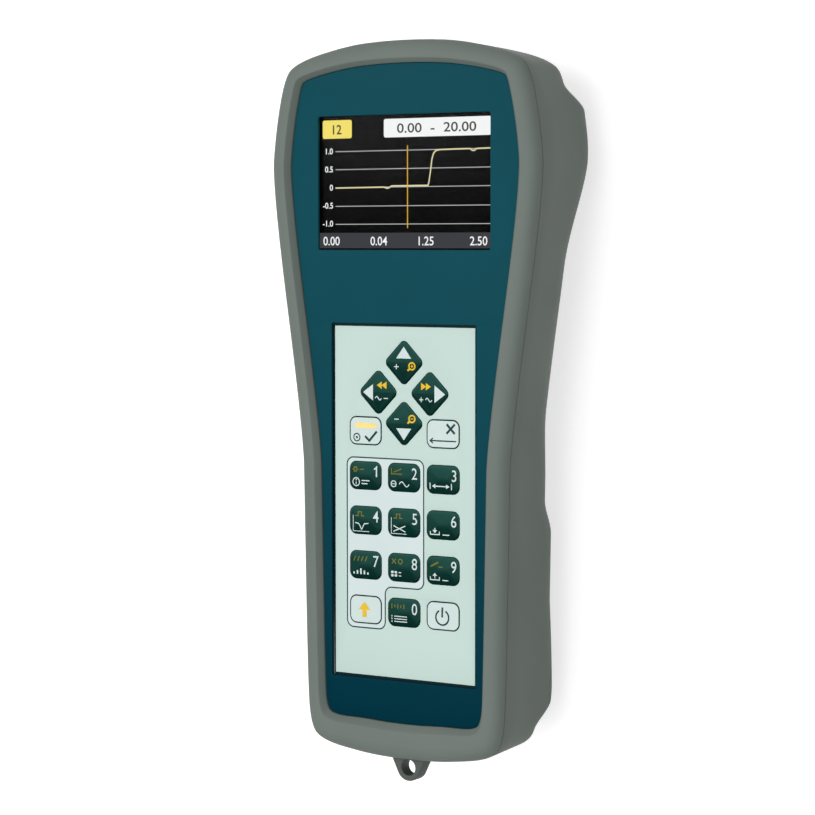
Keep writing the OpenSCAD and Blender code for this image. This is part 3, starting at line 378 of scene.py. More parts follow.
def finish_mesh(name, bm, mat, body=CASE, sharp=35.0, replaces=()):
    """Object from a bmesh in millimetres, with smooth faces and sharp edges by angle."""
    bm.normal_update()
    limit = radians(sharp)
    for f in bm.faces:
        f.smooth = True
    for e in bm.edges:
        e.smooth = len(e.link_faces) == 2 and e.calc_face_angle(0) < limit
    o = plain_object(name, bm)
    o.data.transform(Matrix.Scale(MM, 4))
    o.data.materials.append(mat)
    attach(o, body)
    if replaces:
        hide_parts(*replaces)
    return o


def new_object(name, data):
    o = bpy.data.objects.new(name, data)
    bpy.context.scene.collection.objects.link(o)
    return o


def plain_object(name, bm):
    mesh = bpy.data.meshes.new(name)
    bm.to_mesh(mesh)
    bm.free()
    return new_object(name, mesh)


def bm_from(points, faces):
    """A bmesh from points and faces. A point that a face names twice counts once."""
    bm = bmesh.new()
    vs = [bm.verts.new(p) for p in points]
    for f in faces:
        bm.faces.new([vs[i] for i in dict.fromkeys(f)])
    return bm


def ring_faces(n_rings, n, closed=False):
    """The faces between rings of n points each, and from the last ring to the first where closed."""
    faces = []
    for r in range(n_rings if closed else n_rings - 1):
        a, b = r * n, ((r + 1) % n_rings) * n
        for i in range(n):
            j = (i + 1) % n
            faces.append((a + i, a + j, b + j, b + i))
    return faces


def strip_faces(base, n):
    """Strips that close a ring of n points from side to side."""
    return [(base + i, base + i + 1, base + (n - i - 1) % n, base + (n - i) % n) for i in range(n // 2)]


def capped(rings):
    """A closed bmesh over rings that are closed from side to side at both ends."""
    n = len(CURVE)
    faces = strip_faces(0, n) + ring_faces(len(rings), n) + strip_faces((len(rings) - 1) * n, n)
    bm = bm_from([p for ring in rings for p in ring], faces)
    bmesh.ops.recalc_face_normals(bm, faces=bm.faces)
    return bm


def evaluated_mesh(o):
    return bpy.data.meshes.new_from_object(o.evaluated_get(bpy.context.evaluated_depsgraph_get()))


def curve_mesh(cu):
    """The mesh of a curve or text, which is then removed with its object."""
    mesh = evaluated_mesh(new_object("curve", cu))
    bpy.data.curves.remove(cu)
    return mesh


def take_in(bm, mesh):
    """Moves a mesh into a bmesh."""
    bm.from_mesh(mesh)
    bpy.data.meshes.remove(mesh)
    return bm


def boolean(bm, cutter, operation):
    """bm with the cutter's bmesh added, taken out, or kept where both are."""
    a, b = plain_object("a", bm), plain_object("b", cutter)
    mod = a.modifiers.new("cut", "BOOLEAN")
    mod.object, mod.operation, mod.solver = b, operation, "EXACT"
    out = take_in(bmesh.new(), evaluated_mesh(a))
    for o in (a, b):
        bpy.data.meshes.remove(o.data)
    return out


def add_box(bm, lo, hi):
    c = [(lo[i] + hi[i]) / 2 for i in range(3)]
    size = Matrix.Diagonal([hi[i] - lo[i] for i in range(3)] + [1])
    bmesh.ops.create_cube(bm, size=1, matrix=Matrix.Translation(c) @ size)


def add_cylinder(bm, at, r, length, n, axis=(0, 0, 1)):
    """A cylinder that starts at a point and runs along an axis."""
    turn = Vector((0, 0, 1)).rotation_difference(Vector(axis)).to_matrix().to_4x4()
    m = Matrix.Translation(at) @ turn @ Matrix.Translation((0, 0, length / 2))
    bmesh.ops.create_cone(bm, cap_ends=True, segments=n, radius1=r, radius2=r, depth=length, matrix=m)


def plate_mesh(loops, z0, z1, rnd=0.0, steps=2):
    """A flat plate with holes and rounded edges, from closed loops."""
    cu = bpy.data.curves.new("plate", "CURVE")
    cu.dimensions, cu.fill_mode = "2D", "BOTH"
    for loop in loops:
        sp = cu.splines.new("POLY")
        sp.points.add(len(loop) - 1)
        for p, q in zip(sp.points, loop):
            p.co = (q[0], q[1], 0, 1)
        sp.use_cyclic_u = True
    cu.extrude = (z1 - z0) / 2 - rnd
    cu.bevel_depth, cu.bevel_resolution, cu.offset = rnd, steps, -rnd
    mesh = curve_mesh(cu)
    mesh.transform(Matrix.Translation((0, 0, (z0 + z1) / 2)))
    return mesh


def plate(name, loops, z0, z1, mat, rnd=0.0, steps=2, replaces=(), extra=None):
    """A piece from plate_mesh, where extra adds solids to the bmesh."""
    bm = take_in(bmesh.new(), plate_mesh(loops, z0, z1, rnd, steps))
    bmesh.ops.remove_doubles(bm, verts=bm.verts, dist=1e-4)
    if extra:
        extra(bm)
    return finish_mesh(name, bm, mat, replaces=replaces)


def rect(x0, y0, x1, y1):
    return [(x0, y0), (x1, y0), (x1, y1), (x0, y1)]


def round_rect(w, h, r, cx=0.0, cy=0.0, n=10, turn=0.0):
    """A rectangle with n steps round each corner."""
    pts = []
    for k, (sx, sy) in enumerate(((1, 1), (-1, 1), (-1, -1), (1, -1))):
        for i in range(n + 1):
            a = radians(90 * k + 90 * i / n)
            pts.append((sx * (w / 2 - r) + r * cos(a), sy * (h / 2 - r) + r * sin(a)))
    c, s = cos(turn), sin(turn)
    return [(cx + x * c - y * s, cy + x * s + y * c) for x, y in pts]


def circle(cx, cy, r, n=36):
    return [(cx + r * cos(2 * pi * i / n), cy + r * sin(2 * pi * i / n)) for i in range(n)]


def arc(cx, cy, r, a0, a1, n=8):
    """Points from the angle a0 to a1, in degrees."""
    angles = [radians(a0 + (a1 - a0) * i / n) for i in range(n + 1)]
    return [(cx + r * cos(a), cy + r * sin(a)) for a in angles]


def wave(x0, x1, y, amp, n=32):
    """One turn of a sine wave."""
    return [(x0 + (x1 - x0) * i / n, y + amp * sin(2 * pi * i / n)) for i in range(n + 1)]


# ---- case

FRONT_SEAM = ((0.45, 0), (0.12, 0.12), (0.0, 0.34))  # the broken edge at the parting line: inwards, away from it
BACK_SEAM = ((0.45, 0.0), (0.14, 0.12), (0.05, 0.38))
ROUND_STEPS = 16
BEVEL_HEAD = ((-0.12, -0.01), (0.06, -0.06), (0.22, -0.2))  # from the bevel's upper edge: inwards, up
BEVEL_ROOT = ((-0.12, 0.5), (-0.03, 0.38), (0, 0.25))  # from the rim's inner edge and the face
SCREW_PLACES = ((39.5, Y_TOP - 40.8), (PITCH_X / 2, PAD_Y - 41))
HOOK_X, HOOK_W, HOOK_T, HOOK_REACH, HOOK_ROOT = 12.4, 8, 1.4, 2.8, (-1.9, -0.4)
LUG_BACK = 3.45  # how far the wedge goes into the case
WIDE, BELOW = 60, -1  # past the sides, and under the back
CASE_SHARP = 32  # edges of the case over this angle stay sharp
OUTER_STEPS, INNER_STEPS = 14, 6


def front_section():
    """Section of the rim from the parting line over the top and in to the ledge."""
    rows = [(s, Z_PART + z, 1, 1) for s, z in FRONT_SEAM]
    for i in range(1, ROUND_STEPS + 1):
        a = pi / 2 * i / ROUND_STEPS
        rows.append((RIM_ROUND_W * (1 - cos(a)), Z_PART + RIM_T * sin(a), 1, 1))
    inner = [(RIM_W - BEVEL_W + s, Z_RIM + z) for s, z in BEVEL_HEAD]
    inner += [(RIM_W + s, Z_FACE + z) for s, z in BEVEL_ROOT]
    inner += [(RIM_W, Z_LEDGE), (RIM_W + LEDGE_W, Z_LEDGE), (RIM_W + LEDGE_W, Z_LEDGE - LEDGE_T)]
    rows += [(s, z, K_TOP, K_FOOT) for s, z in inner]
    s = WALL + 2 * LIP_GAP + LIP_H * tan(SIDE_DRAFT)
    lip = [(s + LIP_T, Z_LEDGE - LEDGE_T), (s + LIP_T, Z_PART - LIP_H), (s, Z_PART - LIP_H), (s, Z_PART)]
    return rows + [(s, z, 1, 1) for s, z in lip]


def build_front():
    """The front shell, its lip notched for the flange of the lug and for the socket's cup."""
    pts = [(*inset(p, s, kt, kf), z) for s, z, kt, kf in front_section() for p in CURVE]
    bm = bm_from(pts, ring_faces(len(pts) // len(CURVE), len(CURVE), closed=True))
    cut = bmesh.new()
    half, low = LUG_W / 2 + FLANGE_REACH + 0.3, Z_PART - 5
    add_box(cut, (-half, Y_FOOT + WALL, low), (half, Y_FOOT + FLANGE_TOP + 0.2, Z_LUG + LUG_T + 0.2))
    half = CUP_R * 0.75
    add_box(cut, (-half, Y_TOP - 8, low), (half, Y_TOP - 2, AXIS_Z + CUP_R + 0.2))
    bmesh.ops.recalc_face_normals(bm, faces=bm.faces)
    bm = boolean(bm, cut, "DIFFERENCE")
    finish_mesh("case_front", bm, MAT["case"], sharp=CASE_SHARP, replaces=("front_shell",))


def back_rings(skin, steps):
    """Rings of the back, skin millimetres inside its outer surface, from the parting line down and round."""
    columns = []
    r = BACK_ROUND - skin
    for p in CURVE:
        y_in = p[1] - BACK_ROUND * END_LEAN * p[5]
        depth = Z_PART - back_z(y_in) - skin
        col = [(0.0, 0.0)] if skin else list(BACK_SEAM)
        d_side = depth - r + r * sin(SIDE_DRAFT)
        s_side = tan(SIDE_DRAFT) * d_side
        for t in (0.35, 0.7):
            col.append((s_side * t, d_side * t))
        for k in range(steps + 1):
            b = SIDE_DRAFT + (pi / 2 - SIDE_DRAFT) * k / steps
            col.append((s_side + r * (cos(SIDE_DRAFT) - cos(b)), depth - r + r * sin(b)))
        columns.append([
            (p[0] - s * p[4] - skin * p[2], p[1] - s * END_LEAN * p[5] - skin * p[3], Z_PART - d) for s, d in col
        ])
    return [list(ring) for ring in zip(*columns)]


def back_shell():
    return capped(back_rings(WALL, INNER_STEPS)[::-1] + back_rings(0, OUTER_STEPS))


def door_box(bm, gap):
    """The room of the battery door, grown by a gap."""
    add_box(bm, (-WIDE, Y_DOOR_END - gap, BELOW), (WIDE, Y_DOOR_TOP + gap, Z_DOOR + gap))


def screw_axes():
    return [(side * x, y) for x, y in SCREW_PLACES for side in (-1, 1)]


def bosses():
    """The screw bosses, from the middle of the back's wall to their tops."""
    bm = bmesh.new()
    for x, y in screw_axes():
        add_cylinder(bm, (x, y, BELOW), BOSS_R, BOSS_TOP - BELOW, 48)
    return boolean(bm, capped(back_rings(WALL / 2, INNER_STEPS)), "INTERSECT")


def build_back():
    """The rear shell with its bosses, and the openings for door, screws, socket, data socket and lug."""
    bm = boolean(back_shell(), bosses(), "UNION")
    cut = bmesh.new()
    door_box(cut, DOOR_GAP)
    for x, y in screw_axes():
        add_cylinder(cut, (x, y, BELOW), HEAD_BORE_R, HEAD_BORE_TOP - BELOW, 48)
        add_cylinder(cut, (x, y, SHANK_BORE_LOW), SHANK_BORE_R, SHANK_BORE_TOP - SHANK_BORE_LOW, 32)
    add_cylinder(cut, (0, Y_RECESS - 2, AXIS_Z), CUP_R + 0.2, 30, 96, (0, 1, 0))
    half_w, half_h = USB_W / 2, USB_H / 2
    add_box(cut, (USB_X - half_w, Y_TOP - 14, USB_Z - half_h), (USB_X + half_w, Y_TOP + 6, USB_Z + half_h))
    half_w = LUG_W / 2 + 0.1
    add_box(cut, (-half_w, Y_FOOT - 3, Z_LUG - 0.1), (half_w, Y_FOOT + 6.5, Z_LUG + LUG_T + 0.1))
    bm = boolean(bm, cut, "DIFFERENCE")
    finish_mesh("case_back", bm, MAT["case"], sharp=CASE_SHARP, replaces=("rear_shell",))


def build_door():
    """The battery door, cut from the same back, with the two hooks that it turns on."""
    keep = bmesh.new()
    door_box(keep, -DOOR_GAP)
    bm = boolean(back_shell(), keep, "INTERSECT")
    z = back_z(Y_DOOR_TOP) + WALL + 0.45
    root, front = (Y_DOOR_TOP + y for y in HOOK_ROOT)
    for x in (-HOOK_X, HOOK_X):
        x0, x1 = x - HOOK_W / 2, x + HOOK_W / 2
        add_box(bm, (x0, root, z - 2), (x1, front, z + HOOK_T))
        add_box(bm, (x0, root, z), (x1, Y_DOOR_TOP + HOOK_REACH, z + HOOK_T))
    finish_mesh("door_cover", bm, MAT["case"], "battery_door", CASE_SHARP, ("battery_door",))


def build_lug():
    """The drilled wedge under the foot, whose sides run from its root to a round end."""
    cy = Y_FOOT - LUG_REACH + LUG_R
    half, root_y, back_y = LUG_W / 2, Y_FOOT + 0.4, Y_FOOT + LUG_BACK
    turn = atan2(root_y - cy, half) - acos(LUG_R / hypot(half, root_y - cy))
    tip = arc(0, cy, LUG_R, degrees(turn), -180 - degrees(turn), 24)
    loop = [(half, back_y), (half, root_y), *tip, (-half, root_y), (-half, back_y)]

    def flange(bm):
        reach = half + FLANGE_REACH
        add_box(bm, (-reach, Y_FOOT + FLANGE_LOW, Z_LUG), (reach, Y_FOOT + FLANGE_TOP, Z_LUG + LUG_T))

    hole = circle(0, cy, LUG_HOLE_R + 0.25, 40)
    plate("lug", [loop, hole], Z_LUG, Z_LUG + LUG_T, MAT["lug"], 0.5, 4, ("strap_lug",), flange)


# ---- face and keys

# The column and row of each key, and for the four diamond keys its direction from their middle.
SQUARE_KEYS = {
    "key_ok": (-1, -1), "key_cancel": (1, -1), "key_1": (-1, 0), "key_2": (0, 0), "key_3": (1, 0),
    "key_4": (-1, 1), "key_5": (0, 1), "key_6": (1, 1), "key_7": (-1, 2), "key_8": (0, 2), "key_9": (1, 2),
    "key_function": (-1, 3), "key_0": (0, 3), "key_power": (1, 3),
}
DIAMOND_KEYS = {"key_up": (0, 1), "key_left": (-1, 0), "key_right": (1, 0), "key_down": (0, -1)}
KEYS = [*SQUARE_KEYS, *DIAMOND_KEYS]
PALE = ("key_ok", "key_cancel", "key_function", "key_power")
EDGE_ROLL = ((0.0, 0.3), (0.03, 0.2), (0.09, 0.1), (0.18, 0.03))  # inwards, down from the edge of the crown
CROWN_RINGS = (0.3, 0.7, 1.2, 1.8, 2.5, 3.2)
FLAT_TOP = 0.97  # faces of a pale cap that look up less than this are its dark edge
FACE_GAP, FACE_ROUND, WINDOW_R, SHEET_ROUND, CAP_SHARP = 0.1, 0.32, 0.6, 0.06, 40


def build_face():
    """The teal plate with its two windows."""
    loops = [
        [inset(p, RIM_W + FACE_GAP, K_TOP, K_FOOT) for p in outline_curve(3)],
        round_rect(SCREEN_W, SCREEN_H, WINDOW_R, 0, SCREEN_Y),
        round_rect(PAD_W + 2 * PAD_GAP, PAD_H + 2 * PAD_GAP, WINDOW_R, 0, PAD_Y - PAD_H / 2),
    ]
    plate("face_plate", loops, Z_LEDGE, Z_FACE, MAT["face"], FACE_ROUND, 3, ("face_panel",))


def key_place(k):
    if k in SQUARE_KEYS:
        c, r = SQUARE_KEYS[k]
        return c * PITCH_X, FIRST_ROW_Y - r * PITCH_Y
    c, r = DIAMOND_KEYS[k]
    return c * DIAMOND_REACH, DIAMOND_Y + r * DIAMOND_REACH


def key_loop(k, grow=0.0):
    x, y = key_place(k)
    if k in SQUARE_KEYS:
        return round_rect(KEY_W + 2 * grow, KEY_H + 2 * grow, max(0.05, KEY_R + grow), x, y)
    side = DIAMOND_SIDE + 2 * grow
    return round_rect(side, side, max(0.05, DIAMOND_R + grow), x, y, turn=radians(45))


def crown_drop(k, x, y):
    """How far the crowned top of a key lies below its middle."""
    cx, cy = key_place(k)
    u, v = x - cx, y - cy
    half_u, half_v = KEY_W / 2, KEY_H / 2
    if k in DIAMOND_KEYS:
        u, v = (u + v) * sqrt(0.5), (v - u) * sqrt(0.5)
        half_u = half_v = DIAMOND_SIDE / 2
    u, v = min(1, abs(u) / half_u), min(1, abs(v) / half_v)
    return CROWN * (1 - (1 - u * u) * (1 - v * v))


def key_cap(k):
    """A cap with a rolled edge and a crowned top."""
    rings = [[(x, y, Z_KEY_LOW) for x, y in key_loop(k)]]
    rings += [[(x, y, Z_KEY - CROWN - drop) for x, y in key_loop(k, -d)] for d, drop in EDGE_ROLL]
    half = (KEY_H if k in SQUARE_KEYS else DIAMOND_SIDE) / 2
    for d in (*CROWN_RINGS, half - 0.3):
        rings.append([(x, y, Z_KEY - crown_drop(k, x, y)) for x, y in key_loop(k, -d)])
    n = len(rings[0])
    last = (len(rings) - 1) * n
    faces = ring_faces(len(rings), n) + [tuple(range(n))[::-1], tuple(range(last, last + n))]
    return bm_from([p for ring in rings for p in ring], faces)


def build_keys():
    """The keypad sheet, and each key as a cap on a stem with a wider foot."""
    loops = [rect(-PAD_W / 2, PAD_Y, PAD_W / 2, PAD_Y - PAD_H)] + [key_loop(k, KEY_GAP) for k in KEYS]
    sheet = MAT["keypad_sheet"]
    plate("keypad_face", loops, Z_LEDGE, Z_PAD, sheet, SHEET_ROUND, 1, ("keypad_overlay",))
    stem = Z_STEM + STEM_FOOT_T
    for k in KEYS:
        x, y = key_place(k)
        bm = key_cap(k)
        add_cylinder(bm, (x, y, Z_STEM), STEM_FOOT_R, STEM_FOOT_T, 40)
        add_cylinder(bm, (x, y, stem), STEM_R, Z_KEY_LOW - stem + 0.05, 40)
        kind = "pale_key" if k in PALE else "dark_key"
        cap = finish_mesh(k + "_cap", bm, MAT[kind], k, CAP_SHARP, (k,))
        if k in PALE:
            cap.data.materials.append(MAT["key_edge"])
            for f in cap.data.polygons:
                if f.normal.z < FLAT_TOP:
                    f.material_index = 1


# ---- prints

Z_PRINT, PRINT_SHARP = Z_KEY + 0.005, 60
GLYPH_SIZE, GLYPH_H, GLYPH_STEPS = 10, 7.3, 4  # the font's size, how high digits are there, steps to a curve
CUTS = range(-7, 8)  # a cut every millimetre across a key, so that a print can bend


class Ink:
    """Flat printed shapes collected into one piece."""

    def __init__(self, name, mat, z, body=CASE, slot=None, thick=0.02):
        self.name, self.mat, self.z, self.body, self.slot, self.thick = name, mat, z, body, slot, thick
        self.bm = bmesh.new()

    def loops(self, loops):
        take_in(self.bm, plate_mesh(loops, self.z, self.z + self.thick))

    def stroke(self, pts, w):
        """A line of width w, as one loop."""
        pts = [np.array(p, float) for p in pts]
        left, right = [], []
        for i, p in enumerate(pts):
            a, b = p - pts[max(i - 1, 0)], pts[min(i + 1, len(pts) - 1)] - p
            a = a / np.linalg.norm(a) if i else b / np.linalg.norm(b)
            b = b / np.linalg.norm(b) if i < len(pts) - 1 else a
            t = (a + b) / np.linalg.norm(a + b)
            mitre = min(2.0, 1 / max(0.3, float(np.dot(t, a))))
            side = np.array((-t[1], t[0])) * w / 2 * mitre
            left.append(tuple(p + side))
            right.append(tuple(p - side))
        self.loops([left + right[::-1]])

    def closed_stroke(self, pts, w):
        """A closed line of width w, as two loops."""
        pts = [np.array(p, float) for p in pts]
        sides = []
        for s in (1, -1):
            side = []
            for i, p in enumerate(pts):
                t = pts[(i + 1) % len(pts)] - pts[i - 1]
                t /= np.linalg.norm(t)
                side.append(tuple(p + s * w / 2 * np.array((-t[1], t[0]))))
            sides.append(side)
        self.loops(sides)

    def text(self, x, y, body, h, align, bold, wide):
        """Plain digits, h high, centred on y, and starting, centred or ending at x."""
        cu = bpy.data.curves.new("digits", "FONT")
        cu.body, cu.size, cu.offset, cu.resolution_u = body, GLYPH_SIZE, bold, GLYPH_STEPS
        mesh = curve_mesh(cu)
        xs = [v.co.x for v in mesh.vertices]
        hold = {"LEFT": min(xs), "CENTER": (min(xs) + max(xs)) / 2, "RIGHT": max(xs)}[align]
        scale = h / GLYPH_H
        place = Matrix.Translation((x, y, self.z + self.thick)) @ Matrix.Diagonal((scale * wide, scale, 1, 1))
        mesh.transform(place @ Matrix.Translation((-hold, -GLYPH_H / 2, 0)))
        take_in(self.bm, mesh)

    def draw(self, marks, x, y):
        """Marks with their places measured from (x, y)."""
        for kind, pts, *rest in marks:
            pts = [(x + a, y + b) for a, b in pts]
            if kind == "line":
                self.stroke(pts, *rest)
            elif kind == "area":
                self.loops([pts])
            elif kind == "ring":
                r, w = rest
                self.loops([circle(*pts[0], r + w / 2), circle(*pts[0], r - w / 2)])
            elif kind == "dot":
                self.loops([circle(*pts[0], *rest, 24)])
            elif kind == "tile":
                w, h, r, n = rest
                self.loops([round_rect(w, h, r, *pts[0], n)])
            else:
                self.text(*pts[0], *rest)
        return self

    def done(self):
        if self.body != CASE:
            self.drape()
        finish_mesh(self.name, self.bm, self.mat, self.body, PRINT_SHARP)

    def drape(self):
        """Lay the print on its key's crowned top."""
        for axis, mid in enumerate(key_place(self.body)):
            for i in CUTS:
                at, no = [0, 0, 0], [0, 0, 0]
                at[axis], no[axis] = mid + i + 0.5, 1
                geom = self.bm.verts[:] + self.bm.edges[:] + self.bm.faces[:]
                bmesh.ops.bisect_plane(self.bm, geom=geom, plane_co=at, plane_no=no, dist=1e-4)
        for v in self.bm.verts:
            v.co.z -= crown_drop(self.body, v.co.x, v.co.y)


# Marks for Ink.draw: the kind, the points or the place, and what that kind needs.


def line(*pts, w=0.34):
    return "line", pts, w


def area(*pts):
    return "area", pts


def ring(x, y, r, w=0.34):
    return "ring", [(x, y)], r, w


def dot(x, y, r):
    return "dot", [(x, y)], r


def tile(x, y, w, h, r, n=10):
    return "tile", [(x, y)], w, h, r, n


def digits(x, y, body, h, align="CENTER", bold=0.0, wide=1.0):
    return "digits", [(x, y)], body, h, align, bold, wide


SIGN_W, THIN_W, AXIS_W, ARROW_W, HEAVY_W = 0.32, 0.3, 0.22, 0.42, 0.75
TRAY = line((0.3, 0.1), (0.3, -0.9), (3.7, -0.9), (3.7, 0.1))
STEP = (line((1.0, -0.6), (2.1, -0.6), (2.1, 0.7), (3.4, 0.7), (3.4, -0.6), (4.4, -0.6)),)
DIGIT_AT, DIGIT_H, DIGIT_BOLD, DIGIT_WIDE = (5.0, 1.45), 3.8, 0.04, 0.86
DIGIT_ONE = area(
    (4.5, -0.35), (4.5, 3.25), (4.15, 3.25), (3.9, 2.75), (3.3, 2.4), (3.3, 1.95), (3.7, 2.05), (4.0, 2.3),
    (4.0, -0.35),
)

# A plain pictogram in the lower left of each digit key, measured from WHITE_AT off the key's middle.
WHITE_AT = (-5.0, -2.15)
WHITE_MARKS = {
    "key_1": (
        ring(1.4, 0, 1.3), dot(1.4, 0.65, 0.25), line((1.4, 0.1), (1.4, -0.75), w=SIGN_W),
        line((3.5, 0.5), (6.6, 0.5)), line((3.5, -0.5), (5.8, -0.5)),
    ),
    "key_2": (ring(1.1, 0, 0.95), line((0.1, 0), (2.1, 0), w=0.26), line(*wave(3.3, 7.0, 0, 0.75))),
    "key_3": (
        line((0.2, 1), (0.2, -1)), line((8.2, 1), (8.2, -1)), line((1.2, 0), (7.2, 0)),
        area((0.9, 0), (2.2, 0.7), (2.2, -0.7)), area((7.5, 0), (6.2, -0.7), (6.2, 0.7)),
    ),
    "key_4": (
        line((0.2, 3.7), (0.2, -1.5), (6.4, -1.5), w=AXIS_W),
        line((1.0, 1.2), (2.4, 1.0), (3.5, -0.9), (4.6, 1.0), (6.2, 1.2)),
    ),
    "key_5": (
        line((0.2, 3.7), (0.2, -1.5), (6.0, -1.5), w=AXIS_W),
        line((1.0, -0.8), (5.6, 1.1)), line((1.0, 1.1), (5.6, -0.8)),
    ),
    "key_6": (
        TRAY, area((2.0, -0.5), (1.1, 0.5), (2.9, 0.5)), line((2.0, 0.4), (2.0, 1.2)),
        line((4.9, -0.9), (7.4, -0.9)),
    ),
    "key_7": [
        line((0.5 + 1.35 * i, -0.95), (0.5 + 1.35 * i, -0.95 + h), w=0.62)
        for i, h in enumerate((0.7, 1.2, 1.9, 1.2, 0.7))
    ],
    "key_8": (
        *(tile(0.6 + 1.35 * i, -0.5 + 1.05 * j, 0.95, 0.75, 0.12, 3) for i in (0, 1) for j in (0, 1)),
        line((3.1, 0.5), (4.0, 0.5)), line((3.1, -0.55), (4.0, -0.55)),
    ),
    "key_9": (
        TRAY, area((2.0, 1.3), (1.1, 0.4), (2.9, 0.4)), line((2.0, 0.5), (2.0, -0.4)),
        line((4.9, -0.9), (7.0, -0.9)),
    ),
    "key_0": [m for y in (-0.85, 0.0, 0.85) for m in (dot(0.4, y, 0.24), line((1.3, y), (6.2, y), w=THIN_W))],
}

# A small pictogram in the upper left of most digit keys.
OLIVE_AT = (-4.9, 1.95)
SIXTHS = [(cos(pi * i / 3), sin(pi * i / 3)) for i in range(6)]
OLIVE_MARKS = {
    "key_1": (
        ring(1.0, 0, 0.6, 0.4), *(line(*((1.0 + r * c, r * s) for r in (0.7, 1.1))) for c, s in SIXTHS),
        line((2.7, 0), (4.4, 0)),
    ),
    "key_2": (line((0.2, 0.9), (0.2, -0.9), (4.3, -0.9)), line((1.0, -0.4), (4.0, 0.8))),
    "key_4": STEP,
    "key_5": STEP,
    "key_7": [line((0.3 + 1.5 * i, -0.8), (1.0 + 1.5 * i, 0.8)) for i in range(4)],
    "key_8": (line((0.3, 0.8), (1.9, -0.8)), line((0.3, -0.8), (1.9, 0.8)), ring(3.6, 0, 0.75)),
    "key_9": (line((0.3, -0.8), (3.2, 0.7), w=0.55), line((3.4, -0.8), (4.8, -0.8))),
    "key_0": [
        line((0.3 + 1.15 * i, -h / 2), (0.3 + 1.15 * i, h / 2), w=0.36)
        for i, h in enumerate((1.5, 0.9, 1.5, 0.9, 1.5))
    ],
}

# What else is printed on the keys, in the order made: the piece's ending, its ink and slot, and its marks.
LINES, BAR = ("_line", "dark_ink", "dark_keys"), ("_bar", "pale_yellow_ink", "dark_keys")
ARROW, EXTRA = ("_arrow", "white_ink", "pale_keys"), ("_extra", "yellow_ink", "dark_keys")
KEY_MARKS = {
    "key_ok": (
        (*BAR, tile(0.2, 1.7, 8.2, 1.7, 0.7)),
        (*LINES, line((-0.1, -1.75), (1.5, -3.2), (4.4, -0.1), w=HEAVY_W), ring(-3.3, -2.2, 1.2, 0.4),
         dot(-3.3, -2.2, 0.4)),
    ),
    "key_cancel": ((
        *LINES, line((1.4, 0.2), (4.4, 3.2), w=HEAVY_W), line((1.4, 3.2), (4.4, 0.2), w=HEAVY_W),
        line((-4.7, -2.2), (4.9, -2.2), w=ARROW_W), line((-3.7, -1.4), (-4.8, -2.2), (-3.7, -3.0), w=ARROW_W),
    ),),
    "key_power": (
        (*LINES, line(*arc(-0.2, -0.45, 2.4, 120, 420, 36), w=0.55), line((-0.2, 2.8), (-0.2, -0.4), w=0.6)),
    ),
    "key_function": ((
        "_arrow", "yellow_ink", "dark_keys",
        area((-0.4, 2.4), (1.9, -0.1), (0.4, -0.1), (0.4, -2.5), (-1.2, -2.5), (-1.2, -0.1), (-2.7, -0.1)),
    ),),
    "key_up": (
        (*ARROW, area((0, 5.1), (2.85, 1.3), (-2.85, 1.3)), line((-3.6, -1.35), (-1.9, -1.35), w=SIGN_W),
         line((-2.75, -2.2), (-2.75, -0.5), w=SIGN_W)),
        (*EXTRA, ring(3.1, -1.1, 1.1, 0.5), line((2.3, -1.85), (1.5, -2.6), w=0.6),
         line((2.6, -1.1), (3.6, -1.1), w=THIN_W), line((3.1, -1.6), (3.1, -0.6), w=THIN_W)),
    ),
    "key_down": (
        (*ARROW, area((0, -5.35), (-2.85, -1.55), (2.85, -1.55)), line((-3.6, 1.35), (-1.9, 1.35), w=SIGN_W)),
        (*EXTRA, ring(3.1, 1.6, 1.1, 0.5), line((2.3, 0.85), (1.5, 0.1), w=0.6),
         line((2.6, 1.6), (3.6, 1.6), w=THIN_W)),
    ),
    "key_left": (
        (*ARROW, area((-5.85, -0.1), (-1.95, 2.6), (-1.95, -2.75)), line(*wave(-1.1, 1.3, -1.9, 0.55), w=SIGN_W),
         line((2.1, -1.9), (3.7, -1.9), w=SIGN_W)),
        (*EXTRA, area((1.3, 2.3), (3.2, 3.5), (3.2, 1.1)), area((-0.5, 2.3), (1.4, 3.5), (1.4, 1.1))),
    ),
    "key_right": (
        (*ARROW, area((5.75, 0), (1.85, -2.8), (1.85, 2.8)), line(*wave(-1.5, 0.9, -1.9, 0.55), w=SIGN_W),
         line((-3.9, -1.9), (-2.4, -1.9), w=SIGN_W), line((-3.15, -2.65), (-3.15, -1.15), w=SIGN_W)),
        (*EXTRA, area((-1.3, 2.3), (-3.2, 3.5), (-3.2, 1.1)), area((0.5, 2.3), (-1.4, 3.5), (-1.4, 1.1))),
    ),
}


def build_digit_key(k):
    """A digit with its pictograms."""
    x, y = key_place(k)
    ink = Ink(k + "_digit", MAT["white_ink"], Z_PRINT, k, "pale_keys")
    digit = digits(*DIGIT_AT, k[-1], DIGIT_H, "RIGHT", DIGIT_BOLD, DIGIT_WIDE)
    ink.draw([DIGIT_ONE if k == "key_1" else digit], x, y)
    ink.draw(WHITE_MARKS[k], x + WHITE_AT[0], y + WHITE_AT[1]).done()
    if k in OLIVE_MARKS:
        ink = Ink(k + "_mark", MAT["olive_ink"], Z_PRINT, k, "dark_keys")
        ink.draw(OLIVE_MARKS[k], x + OLIVE_AT[0], y + OLIVE_AT[1]).done()


def build_prints():
    for k in [*SQUARE_KEYS, "key_up", "key_down", "key_left", "key_right"]:
        if k in WHITE_MARKS:
            build_digit_key(k)
        for ending, mat, slot, *marks in KEY_MARKS.get(k, ()):
            Ink(k + ending, MAT[mat], Z_PRINT, k, slot).draw(marks, *key_place(k)).done()


